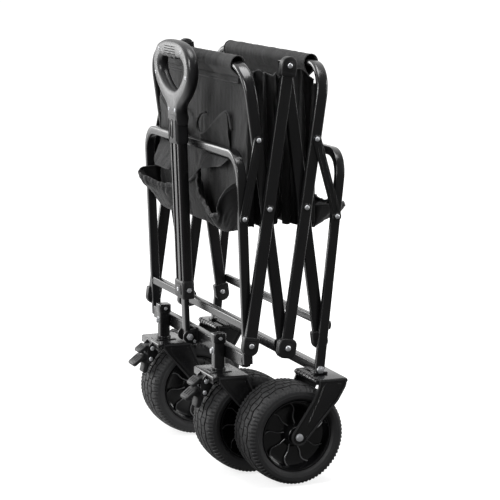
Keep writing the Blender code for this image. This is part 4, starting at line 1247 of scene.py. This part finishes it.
def simulate(obj, weights, bending, gravity, shrink=0.0, stiffness=0.6):
    """Adds a cloth modifier; weights (0 to 1) say how firmly each vertex is held."""
    group = obj.vertex_groups.new(name="pin")
    for i, weight in enumerate(np.clip(weights.reshape(-1), 0, 1)):
        if weight > 0.001:
            group.add([i], float(weight), "REPLACE")
    modifier = obj.modifiers.new("Cloth", "CLOTH")
    cloth = modifier.settings
    cloth.quality = 6
    cloth.mass = 0.18
    cloth.tension_stiffness = 12.0
    cloth.compression_stiffness = 12.0
    cloth.shear_stiffness = 5.0
    cloth.bending_stiffness = bending
    cloth.air_damping = 2.0
    cloth.vertex_group_mass = "pin"
    cloth.pin_stiffness = stiffness
    cloth.shrink_min = shrink
    cloth.effector_weights.gravity = gravity
    modifier.collision_settings.use_collision = False
    modifier.collision_settings.use_self_collision = False
    modifier.point_cache.frame_start, modifier.point_cache.frame_end = 1, 26
    SIMULATED.append(obj)


def run_simulation(frames, max_move):
    """Steps the cloth, then keeps its shape with each vertex's move held to max_move."""
    rest = {o.name: np.array([v.co for v in o.data.vertices], float) for o in SIMULATED}
    scene = bpy.context.scene
    scene.frame_start, scene.frame_end = 1, frames
    for frame in range(1, frames + 1):
        scene.frame_set(frame)
    graph = bpy.context.evaluated_depsgraph_get()
    for obj in SIMULATED:
        co = rest[obj.name]
        settled = np.array([v.co for v in obj.evaluated_get(graph).data.vertices], float)
        offset = settled - co
        length = np.linalg.norm(offset, axis=1, keepdims=True)
        offset *= np.minimum(1.0, max_move / np.maximum(length, 1e-9))
        co = co + offset
        obj.modifiers.clear()
        obj.data.vertices.foreach_set("co", co.ravel())
        obj.data.update()
    scene.frame_set(1)


def thicken(obj, thickness, levels=1):
    if levels:
        smooth = obj.modifiers.new("Smooth", "SUBSURF")
        smooth.levels = smooth.render_levels = levels
    solid = obj.modifiers.new("Thickness", "SOLIDIFY")
    solid.thickness = thickness
    solid.offset = 0.0
    solid.use_rim = True
    return obj


def flatten(obj, sy):
    """Gives a pocket piece its own copy of its mesh."""
    wall_y(sy) + Y_SHIFT
    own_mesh(obj)


def attach(obj, body):
    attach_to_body(obj, body)
    return obj


def cord(name, points, radius, segments=8, y_shift=Y_SHIFT):
    """A round cord of piping through points, in the lighter piping colour: a painted highlight on
    the edge it trims.
    """
    points = [Vector(p) for p in points]
    k = len(points)
    a_axes, b_axes = [], []
    normal = None
    for i in range(k):
        tangent = (points[min(i + 1, k - 1)] - points[max(i - 1, 0)]).normalized()
        if normal is None:
            normal = tangent.orthogonal().normalized()
        normal = (normal - tangent * normal.dot(tangent)).normalized()
        a_axes.append(normal.copy())
        b_axes.append(tangent.cross(normal).normalized())
    return mesh_object(sweep(points, a_axes, b_axes, circle(radius, segments)), name, PIPING_HIGHLIGHT,
                       y_shift)


STITCH_LENGTH, STITCH_GAP, STITCH_RADIUS = 0.0026, 0.0014, 0.00035


def stitches(name, points, sy, y_shift=Y_SHIFT):
    """A row of raised thread stitches along points, on a face towards sy."""
    points = [Vector(p) for p in points]
    normal = Vector((0, sy, 0))
    bm = bmesh.new()
    start = 0.0
    for a, b in zip(points, points[1:]):
        span = (b - a).length
        if span < 1e-7:
            continue
        d = (b - a) / span
        s = start
        while s + STITCH_LENGTH <= span:
            centre = a + d * (s + STITCH_LENGTH / 2) + normal * STITCH_RADIUS * 0.6
            across = d.cross(normal).normalized()
            up = across.cross(d)
            rings = []
            for q, k in ((-0.5, 0.15), (-0.3, 1.0), (0.3, 1.0), (0.5, 0.15)):
                r = STITCH_RADIUS * k
                rings.append([bm.verts.new(centre + d * STITCH_LENGTH * q + across * r * cos(t)
                                           + up * r * sin(t))
                              for t in np.linspace(0, 2 * pi, 7)[:-1]])
            join_rings(bm, rings)
            bm.faces.new(list(reversed(rings[0])))
            bm.faces.new(rings[-1])
            s += STITCH_LENGTH + STITCH_GAP
        start = max(0.0, s - span)
    return mesh_object(bm, name, THREAD, y_shift)


# ------------------------------------------------------------------ basket: hem and seam
SEAM_Z = 0.7265                             # where the sleeve's two layers meet
HEM_START, HEM_END = -0.17 * pi, 1.17 * pi  # the part of the bail the sleeve wraps
HEM_STEPS, HEM_DROP_STEPS = 26, 7


def hem_sleeve(end, sy, seed):
    """A sleeve round the bail whose two layers run down to the seam."""
    centre_y, wall = sy * BAIL_TOP_Y - sy * 0.0010, wall_y(sy)
    first, last = HEM_DROP_STEPS, HEM_DROP_STEPS + HEM_STEPS - 1
    points = np.zeros((96, HEM_STEPS + 2 * HEM_DROP_STEPS, 3))
    for column, x in zip(points, np.linspace(-0.2030, 0.2030, 96)):
        past_straight = max(0.0, abs(x) - (INNER_X - BAIL_CORNER))
        drop = BAIL_CORNER - sqrt(max(0.0, BAIL_CORNER ** 2 - past_straight ** 2))
        wobble = (0.0008 * noise.noise(Vector((x * 40, seed, 0)))
                  + 0.0007 * noise.noise(Vector((x * 95, seed, 4))))
        for j, a in enumerate(np.linspace(HEM_START, HEM_END, HEM_STEPS)):
            column[j + first] = (x, centre_y + (0.0132 + wobble) * cos(a),
                                 BAIL_TOP_Z + 0.0008 + (0.0152 + wobble) * sin(a) - drop)
        for q in range(HEM_DROP_STEPS):
            t = min(1.0, (q + 1) / 5)
            for edge, index, sign in ((column[first], first - 1 - q, 1),
                                      (column[last], last + 1 + q, -1)):
                z = edge[2] + (SEAM_Z - edge[2]) * t if q < 5 else SEAM_Z - 0.0045 * (q - 4)
                y = edge[1] + (wall + sign * 0.0007 - edge[1]) * t
                bow = 0.0012 * sin(pi * t) * noise.noise(Vector((x * 34, seed, sign)))
                column[index] = (x, y + bow, z)
    obj = thicken(grid_mesh(f"hem_sleeve_{end}", points, CLOTH), 0.0012)
    attach(obj, f"hem_{end}")
    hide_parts(f"basket_{end}_hem")
    for side, sx in SIDES:
        x = sx * 0.2027
        roll = [(x, centre_y + 0.0137 * cos(a), BAIL_TOP_Z + 0.0002 + 0.0157 * sin(a))
                for a in np.linspace(HEM_START, HEM_END, 30)]
        roll = [(x, wall + 0.0010, SEAM_Z)] + roll + [(x, wall - 0.0010, SEAM_Z)]
        attach(cord(f"hem_end_roll_{end}_{side[0]}", roll, 0.0011), f"hem_{end}")


def seam_band(end, sy, seed):
    """The band under the sleeve, two rows of stitches and its folded lower edge."""
    wall, body = wall_y(sy), f"hem_{end}"
    heights = np.linspace(SEAM_Z - 0.0100, SEAM_Z - 0.0005, 9)

    def point(x, j):
        z = heights[j]
        puff = (0.0010 + 0.0007 * sin(pi * j / 8)
                + 0.0004 * noise.noise(Vector((x * 70, z * 50, seed))))
        return x, wall + sy * (0.0012 + puff), z

    band = point_grid(np.linspace(-0.2000, 0.2000, 100), range(9), point)
    attach(thicken(grid_mesh(f"seam_band_{end}", band, CLOTH), 0.0016), body)
    for k, z in enumerate((SEAM_Z - 0.0085, SEAM_Z - 0.0022)):
        line = [(x, wall + sy * 0.0036, z) for x in np.linspace(-0.198, 0.198, 90)]
        attach(stitches(f"seam_stitches_{end}_{k}", line, sy), body)
    # the fold is lighter piping: painted highlight along the band's lower edge
    fold = [(x, wall + sy * 0.0030, SEAM_Z - 0.0100) for x in np.linspace(-0.200, 0.200, 80)]
    attach(cord(f"seam_fold_{end}", fold, 0.0012), body)


# ------------------------------------------------------------------ basket: end panel
PANEL_TOP, PANEL_BOTTOM = 0.7220, 0.4480


def end_panel(end, sy, seed):
    """The hanging panel, pulled in at its shoulders."""
    nu, nv = 110, 58
    wall = wall_y(sy)

    def point(u, t):
        z = PANEL_TOP + (PANEL_BOTTOM - PANEL_TOP) * t
        half = 0.203 + (0.2340 - 0.203) * min(1.0, max(0.0, (0.7150 - z) / 0.030)) ** 0.7
        half -= 0.004 * max(0.0, (t - 0.75) / 0.25) ** 2
        sag = 0.006 * sin(pi * t) * (1 - abs(u) ** 2)
        pull = 0.0014 * sin(u * 16 + 3 * t) * (1 - t) * sin(pi * min(1, t * 1.5))
        return (u * half, wall + sy * (-sag + pull),
                z + 0.010 * (u * u) * t * (1.0 if u > 0 else 0.4))

    points = point_grid([-1 + 2 * i / (nu - 1) for i in range(nu)], fractions(nv), point)
    mask = np.ones((nu, nv))
    mask[:, :6] *= np.linspace(0, 1, 6)[None, :]
    crumple(points, amount=0.0028, size=0.060, seed=seed, axis="y", mask=mask)
    crumple(points, amount=0.0010, size=0.021, seed=seed + 5, axis="y", mask=mask)
    obj = grid_mesh(f"end_panel_{end}", points, CLOTH)
    # held at the top and the sides, loosely along the bottom
    weights = np.full((nu, nv), 0.06)
    weights[:, -3:] = 0.35
    weights[:2, :] = weights[-2:, :] = 0.9
    weights[:, :3] = 1
    simulate(obj, weights, bending=0.5, gravity=0.6)
    UNFINISHED.append((finish_panel, obj, end, sy))


def finish_panel(obj, end, sy):
    thicken(obj, 0.0012)
    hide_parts(f"basket_{end}_panel")
    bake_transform(obj)


# ------------------------------------------------------------------ basket: wide pocket
POCKET_COLUMNS, POCKET_ROWS = 150, 34
POCKET_HALF = 0.2330
POCKET_MIDDLE = 0.035           # half width of the flat middle
POCKET_LEFT_Z = 0.513           # height of the lip at the middle's left edge


def pocket_lip(end, x):
    """How far the lip stands out at x, and its height."""
    rear = end == "rear"
    left_depth, right_depth = (0.062, 0.067) if rear else (0.056, 0.046)
    right_z = 0.520 if rear else 0.544
    if x < -POCKET_MIDDLE:
        k = (-x - POCKET_MIDDLE) / 0.198
        return 0.016 + (left_depth - 0.016) * min(1.0, k * 1.5) ** 0.8, POCKET_LEFT_Z + 0.006 * k
    if x > POCKET_MIDDLE:
        k = (x - POCKET_MIDDLE) / 0.198
        depth = 0.016 + (right_depth - 0.016) * min(1.0, k * 2.2) ** 0.8 + 0.006 * sin(k * 9)
        if rear:
            return depth, right_z - 0.024 * k
        return depth, (right_z - 0.052 * min(1.0, k * 2.0)
                       + 0.060 * max(0.0, (k - 0.86) / 0.14) ** 1.4 + 0.003 * sin(k * 17))
    rise = (right_z - POCKET_LEFT_Z) * (x + POCKET_MIDDLE) / 0.070
    return 0.030 if rear else 0.016, POCKET_LEFT_Z + rise


def pocket_sheet(end, sy, seed):
    """A sheet from the panel's bottom edge up to a lip that stands out."""
    nu, nv = POCKET_COLUMNS, POCKET_ROWS
    wall = wall_y(sy)
    us = np.linspace(-1, 1, nu)

    def point(u, t):
        x = u * POCKET_HALF
        depth, lip_z = pocket_lip(end, x)
        past_end = max(0.0, (abs(x) - 0.212) / 0.021)
        depth *= sqrt(max(0.0, 1 - past_end ** 2.2))
        low_z = PANEL_BOTTOM + 0.010 * (u * u) * (1.0 if u > 0 else 0.4) - 0.0015
        out = depth * (t ** 0.85) * (1 - 0.10 * sin(pi * t))
        turn_in = 0.0030 * max(0.0, (t - 0.90) / 0.10) ** 2
        return (x * (1 + 0.006 * sin(pi * t)), wall + sy * (0.0022 + out - turn_in),
                low_z + (lip_z - low_z) * t)

    points = point_grid(us, fractions(nv), point)
    middle = np.abs(us * 0.233) < 0.034
    mask = np.ones((nu, nv)) * np.linspace(0.15, 1.0, nv)[None, :]
    mask[us > 0.12] *= 1.7
    mask[:5] *= 0.2
    mask[-5:] *= 0.2
    mask[middle] *= 0.25
    crumple(points, amount=0.0060, size=0.036, seed=seed + 1.3, axis="y", mask=mask)
    crumple(points, amount=0.0040, size=0.034, seed=seed + 8.1, axis="z",
            mask=mask * np.linspace(0, 1, nv)[None, :])
    crumple(points, amount=0.0020, size=0.014, seed=seed + 2.9, axis="y", mask=mask)
    obj = grid_mesh(f"pocket_sheet_{end}", points, CLOTH)
    weights = np.full((nu, nv), 0.05)
    weights[:, :2] = 1
    weights[:3, :] = 1
    weights[-3:, :] = 1
    weights[middle] = np.maximum(weights[middle], 0.7)
    weights[:, -2:] = np.maximum(weights[:, -2:], 0.22)
    simulate(obj, weights, bending=0.35, gravity=0.8, shrink=-0.035, stiffness=0.8)
    UNFINISHED.append((finish_pocket, obj, end, sy))


def finish_pocket(obj, end, sy):
    """Trims the lip with piping, a band in the lighter cloth (painted highlight) and stitches taken
    from the sheet's last rows.
    """
    thicken(obj, 0.0012)
    body = f"panel_{end}"
    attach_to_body(obj, body)

    def row(back, out=0.0):
        """A row of the sheet, counted back from the lip and moved out."""
        return [obj.data.vertices[(i + 1) * POCKET_ROWS - 1 - back].co + Vector((0, sy * out, 0))
                for i in range(POCKET_COLUMNS)]

    flatten(attach(cord(f"pocket_rim_piping_{end}", row(0), 0.0017, y_shift=0), body), sy)
    rows = [row(j) for j in range(4)]
    band = point_grid(range(POCKET_COLUMNS), range(4), lambda i, j: (
        rows[j][i].x, rows[j][i].y + sy * (0.0013 + 0.0004 * (j in (1, 2))), rows[j][i].z))
    # the band is the lighter cloth, a painted highlight along the pocket's lip
    band = thicken(grid_mesh(f"pocket_rim_band_{end}", band, CLOTH_HIGHLIGHT, y_shift=0), 0.0012)
    flatten(attach(band, body), sy)
    flatten(attach(stitches(f"pocket_rim_stitches_{end}", row(3, 0.0026), sy, y_shift=0), body),
            sy)
    flatten(obj, sy)


def pocket_flap(end, sy, seed, k, x0, x1, top_z, low_z, lean):
    """A flap in the lighter cloth (painted highlight) that hangs inside the pocket's mouth, with
    piping on its lower edge.
    """
    wall = wall_y(sy)

    def point(u, t):
        taper = 0.016 * t * (1 - 2 * u)
        if k == 0:
            lift = 0.020 * (1 - min(1.0, u / 0.35)) * t
            swell = 0.55 + 0.45 * sin(pi * u)
        else:
            lift = (-0.008 * sin(pi * min(1.0, u / 0.3)) + 0.024 * u) * t
            swell = 0.25 + 0.9 * sin(pi * min(1.0, u / 0.45 + 0.02)) * (1 - 0.5 * u)
        return (x0 + (x1 - x0) * u + taper,
                wall + sy * (0.0050 + lean * t * swell + 0.0020 * sin(u * 8) * t),
                top_z + (low_z - top_z) * t + 0.002 * sin(u * 5) * t + lift)

    points = point_grid(fractions(34), fractions(18), point)
    crumple(points, amount=0.0018, size=0.030, seed=seed + k, axis="y")
    piping = cord(f"pocket_flap_piping_{end}_{k}", points[:, -1], 0.0013)
    flatten(attach(piping, f"panel_{end}"), sy)
    flap = thicken(grid_mesh(f"pocket_flap_{end}_{k}", points, CLOTH_HIGHLIGHT), 0.0014)
    flatten(attach(flap, f"panel_{end}"), sy)


# x from, x to, top z, lower z, lean outwards
FLAPS = ((-0.215, -0.092, 0.5745, 0.5300, 0.030), (0.010, 0.158, 0.5760, 0.5420, 0.020))

# ------------------------------------------------------------------ basket: net pockets
# (x, z) along the right-hand pocket's drooping mouth
NET_MOUTH = [
    (0.034, 0.6500), (0.016, 0.6460), (0.002, 0.6330), (0.006, 0.6200), (0.020, 0.6110),
    (0.036, 0.6100), (0.056, 0.6160), (0.082, 0.6300), (0.110, 0.6450), (0.136, 0.6570),
    (0.154, 0.6615), (0.163, 0.6520), (0.168, 0.6300)]


def net_pocket(end, sy, seed, k, sx):
    """A net below a piped mouth."""
    wall = wall_y(sy)
    mouth = NET_MOUTH if sx > 0 else [(-x - 0.052, z - 0.002) for x, z in NET_MOUTH]
    path = []
    for near in zip([mouth[0]] + mouth[:-2], mouth[:-1], mouth[1:], mouth[2:] + [mouth[-1]]):
        near = [Vector((*p, 0)) for p in near]
        path += [catmull_rom(*near, t) for t in np.linspace(0, 1, 6)[:-1]]
    path.append(mouth[-1])
    count = len(path)
    edge = [(x, wall + sy * (0.0035 + 0.0075 * sin(pi * i / (count - 1)) ** 0.7), z)
            for i, (x, z) in enumerate(path)]
    attach(cord(f"net_pocket_piping_{end}_{k}", edge, 0.0021, segments=10), f"panel_{end}")
    # the net starts where the mouth reaches furthest towards the panel's middle
    start = min(range(count), key=lambda i: sx * edge[i][0])
    edge = edge[start:-8]

    def point(i, t):
        x, y, z = edge[i]
        low_x = x + 0.016 * sx * max(0.0, 1 - i / 10.0)
        out = abs(y - wall) * (1 - t) ** 1.3 + 0.0024
        return x + (low_x - x) * t, wall + sy * out, z + (0.578 - z) * t

    points = point_grid(range(len(edge)), fractions(16), point)
    crumple(points, amount=0.0014, size=0.020, seed=seed + 4 + k, axis="y")
    net = grid_mesh(f"net_pocket_{end}_{k}", points, NET)
    attach(thicken(net, 0.0009, levels=0), f"panel_{end}")


# ------------------------------------------------------------------ basket: sides and floor
def edge_swing(t):
    """How much further in the side cloth's edge lies, from 0 at its top."""
    return 0.0074 * t ** 0.75


def side_seam(end, sy, side, sx):
    """The strip that turns in from the panel's edge and laps over the side cloth."""
    wall = wall_y(sy)

    def point(i, j):
        t = j / 39
        return (sx * (0.2376 - 0.0006 * sin(pi * i / 6) + 0.0003 * sin(9 * t)),
                wall + sy * 0.0004 - sy * (0.0058 + edge_swing(t)) * i / 6,
                0.716 + (0.4645 - 0.716) * t)

    strip = grid_mesh(f"side_seam_{end}_{side}", point_grid(range(7), range(40), point), CLOTH)
    attach(thicken(strip, 0.0010), f"panel_{end}")


def side_cloth(end, sy, seed, side, sx):
    """Soft accordion folds from the panel's edge to the middle of the cart."""
    nu, nv = 74, 52
    wall = wall_y(sy)

    def point(u, t):
        top_z = 0.722 + 0.020 * sin(pi * u) + (0.006 if end == "front" else 0.0) * sin(2.5 * pi * u)
        low_z = 0.462 + 0.018 * u + 0.004 * sin(7 * u)
        fold = 0.5 - 0.5 * cos(2 * pi * 2.5 * u + 0.6 * sin(3 * t + seed))
        depth = (0.030 + 0.010 * t) * (1 - 0.25 * abs(2 * u - 1))
        x = 0.2365 - depth * fold * (0.35 + 0.65 * min(1, t * 3)) - 0.010 * (1 - t) * u
        y = wall - sy * (0.0028 + edge_swing(t))
        return sx * x, y - y * u, top_z + (low_z - top_z) * t

    points = point_grid(fractions(nu), fractions(nv), point)
    side_seam(end, sy, side, sx)
    mask = np.ones((nu, nv))
    mask[:2] = 0
    mask[-2:] = 0
    near_top = np.clip(1 - np.linspace(0, 1, nv) * 6, 0, 1)[None, :]
    crumple(points, amount=0.0050, size=0.040, seed=seed + 20 + sx, axis="x", mask=mask)
    crumple(points, amount=0.0018, size=0.014, seed=seed + 30 + sx, axis="x", mask=mask)
    crumple(points, amount=0.0060, size=0.020, seed=seed + 50 + sx, axis="z",
            mask=mask * near_top)
    obj = grid_mesh(f"side_cloth_{end}_{side}", points, CLOTH)
    weights = np.full((nu, nv), 0.03)
    weights[:2] = 1
    weights[-2:] = 1
    weights[:, :2] = 0.85
    simulate(obj, weights, bending=0.3, gravity=0.9, shrink=-0.02)
    UNFINISHED.append((finish_side, obj, end, sy))


def blend_to_middle(obj, end, sy):
    wall_y(sy) + Y_SHIFT
    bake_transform(obj)


def finish_side(obj, end, sy):
    # no fold stands further out than the cloth's own sewn edge
    for v in obj.data.vertices:
        t = min(1.0, max(0.0, (0.722 - v.co.z) / 0.260))
        limit = wall_y(sy) + Y_SHIFT - sy * (0.0029 + edge_swing(t))
        if sy * (v.co.y - limit) > 0:
            v.co.y = limit
    thicken(obj, 0.0012)
    if "right" in obj.name:
        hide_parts(f"basket_{end}_sides")
    top = [obj.data.vertices[i * 52].co.copy() for i in range(74)]
    name = obj.name.removeprefix("side_cloth_")
    piping = cord(f"side_top_piping_{name}", top, 0.0017, y_shift=0)
    blend_to_middle(piping, end, sy)
    blend_to_middle(obj, end, sy)


def floor_cloth(end, sy, seed):
    """The folding floor, raised in a hump between the sides."""
    wall = wall_y(sy)
    points = point_grid(fractions(40), fractions(60), lambda u, t: (
        -0.226 + 0.452 * u, (wall - sy * 0.0102) * (1 - t),
        0.4660 + 0.070 * sin(pi * t) ** 1.5 + 0.012 * t))
    crumple(points, amount=0.0040, size=0.050, seed=seed + 40, axis="z")
    UNFINISHED.append((finish_floor, grid_mesh(f"floor_cloth_{end}", points, CLOTH), end, sy))


def finish_floor(obj, end, sy):
    thicken(obj, 0.0012)
    blend_to_middle(obj, end, sy)


for end, sy, seed in (("front", -1, 3.1), ("rear", 1, 11.7)):
    hem_sleeve(end, sy, seed)
    seam_band(end, sy, seed)
    end_panel(end, sy, seed)
    pocket_sheet(end, sy, seed)
    for k, flap in enumerate(FLAPS):
        pocket_flap(end, sy, seed, k, *flap)
    for k, (_, sx) in enumerate(SIDES):
        net_pocket(end, sy, seed, k, sx)
    for side, sx in SIDES:
        side_cloth(end, sy, seed, side, sx)
    floor_cloth(end, sy, seed)

run_simulation(frames=24, max_move=0.014)
for finish, obj, end, sy in UNFINISHED:
    finish(obj, end, sy)


# ------------------------------------------------------------------ ground, light, camera
def map_range(tree, source, from_min, from_max, to_min, to_max):
    node = add(tree, "ShaderNodeMapRange", From_Min=from_min, From_Max=from_max, To_Min=to_min,
               To_Max=to_max)
    link(tree, source, node.inputs["Value"])
    return node.outputs["Result"]


def ground_material():
    """White, brighter far out; what the cart reflects of it fades towards +X."""
    material, tree, shader = new_material("floor_white")
    shader.inputs["Base Color"].default_value = (0.42, 0.42, 0.42, 1)
    shader.inputs["Roughness"].default_value = 0.9
    shader.inputs["Specular IOR Level"].default_value = 0.0
    shader.inputs["Emission Color"].default_value = (1, 1, 1, 1)
    distance = tree.nodes.new("ShaderNodeVectorMath")
    distance.operation = "LENGTH"
    link(tree, tree.nodes.new("ShaderNodeNewGeometry").outputs["Position"], distance.inputs[0])
    far = map_range(tree, distance.outputs["Value"], from_min=0.5, from_max=1.4,
                    to_min=0.78, to_max=1.05)
    link(tree, far, shader.inputs["Emission Strength"])
    seen = tree.nodes.new("ShaderNodeLightPath")
    place_xyz = tree.nodes.new("ShaderNodeSeparateXYZ")
    link(tree, tree.nodes.new("ShaderNodeNewGeometry").outputs["Position"], place_xyz.inputs[0])
    slope = map_range(tree, place_xyz.outputs["X"], from_min=-0.45, from_max=0.25,
                      to_min=1.10, to_max=0.12)
    glow = tree.nodes.new("ShaderNodeEmission")
    link(tree, slope, glow.inputs["Strength"])
    mix = tree.nodes.new("ShaderNodeMixShader")
    link(tree, seen.outputs["Is Camera Ray"], mix.inputs[0])
    link(tree, glow.outputs[0], mix.inputs[1])
    link(tree, shader.outputs[0], mix.inputs[2])
    link(tree, mix.outputs[0], tree.nodes["Material Output"].inputs["Surface"])
    return material


def ground():
    bm = bmesh.new()
    bmesh.ops.create_grid(bm, x_segments=1, y_segments=1, size=12)
    mesh = bpy.data.meshes.new("floor")
    bm.to_mesh(mesh)
    bm.free()
    obj = bpy.data.objects.new("floor", mesh)
    bpy.context.scene.collection.objects.link(obj)
    obj.location.z = -0.0006
    mesh.materials.append(ground_material())


def studio_world():
    """White to the camera; for other rays it dims towards +X."""
    world = bpy.data.worlds.new("studio")
    bpy.context.scene.world = world
    world.use_nodes = True
    tree = world.node_tree
    background = tree.nodes["Background"]
    seen = tree.nodes.new("ShaderNodeLightPath")
    direction = tree.nodes.new("ShaderNodeSeparateXYZ")
    link(tree, tree.nodes.new("ShaderNodeTexCoord").outputs["Generated"], direction.inputs[0])
    across = map_range(tree, direction.outputs["X"], from_min=-0.45, from_max=0.20,
                       to_min=0.95, to_max=0.13)
    mix = tree.nodes.new("ShaderNodeMix")
    mix.data_type = "FLOAT"
    link(tree, across, mix.inputs[2])
    mix.inputs[3].default_value = 1.05
    link(tree, seen.outputs["Is Camera Ray"], mix.inputs[0])
    link(tree, mix.outputs[0], background.inputs["Strength"])
    background.inputs["Color"].default_value = (1, 1, 1, 1)


def area(name, location, target, size, power):
    light = bpy.data.lights.new(name, "AREA")
    light.shape = "RECTANGLE"
    light.size, light.size_y = size
    light.energy = power
    obj = bpy.data.objects.new(name, light)
    bpy.context.scene.collection.objects.link(obj)
    obj.location = location
    obj.rotation_mode = "QUATERNION"
    obj.rotation_quaternion = (Vector(target) - Vector(location)).to_track_quat("-Z", "Y")


def camera():
    data = bpy.data.cameras.new("camera")
    obj = bpy.data.objects.new("camera", data)
    bpy.context.scene.collection.objects.link(obj)
    data.sensor_width = 36.0
    data.lens = 150.33
    data.clip_start, data.clip_end = 0.05, 60.0
    # columns: the view's right, its up, back towards the camera, and where it stands
    obj.matrix_world = Matrix((
        (0.36317, -0.15271, 0.91912, 3.64638),
        (0.93171, 0.05554, -0.35892, -1.39033 + Y_SHIFT),
        (0.00376, 0.98671, 0.16245, 1.02531),
        (0, 0, 0, 1)))
    bpy.context.scene.camera = obj


ground()
studio_world()
area("key", location=(1.5, -2.9, 1.9), target=(0, 0, 0.4), size=(0.9, 1.6), power=70)
area("top", location=(0.3, 0.2, 3.0), target=(0, 0, 0.3), size=(1.6, 1.6), power=55)
area("rim_light", location=(1.4, 2.8, 1.5), target=(0, 0, 0.4), size=(0.5, 1.8), power=40)
area("left_fill", location=(-2.6, -1.6, 1.2), target=(0, 0, 0.4), size=(1.4, 1.8), power=40)
camera()

bpy.context.scene.view_settings.view_transform = "Standard"
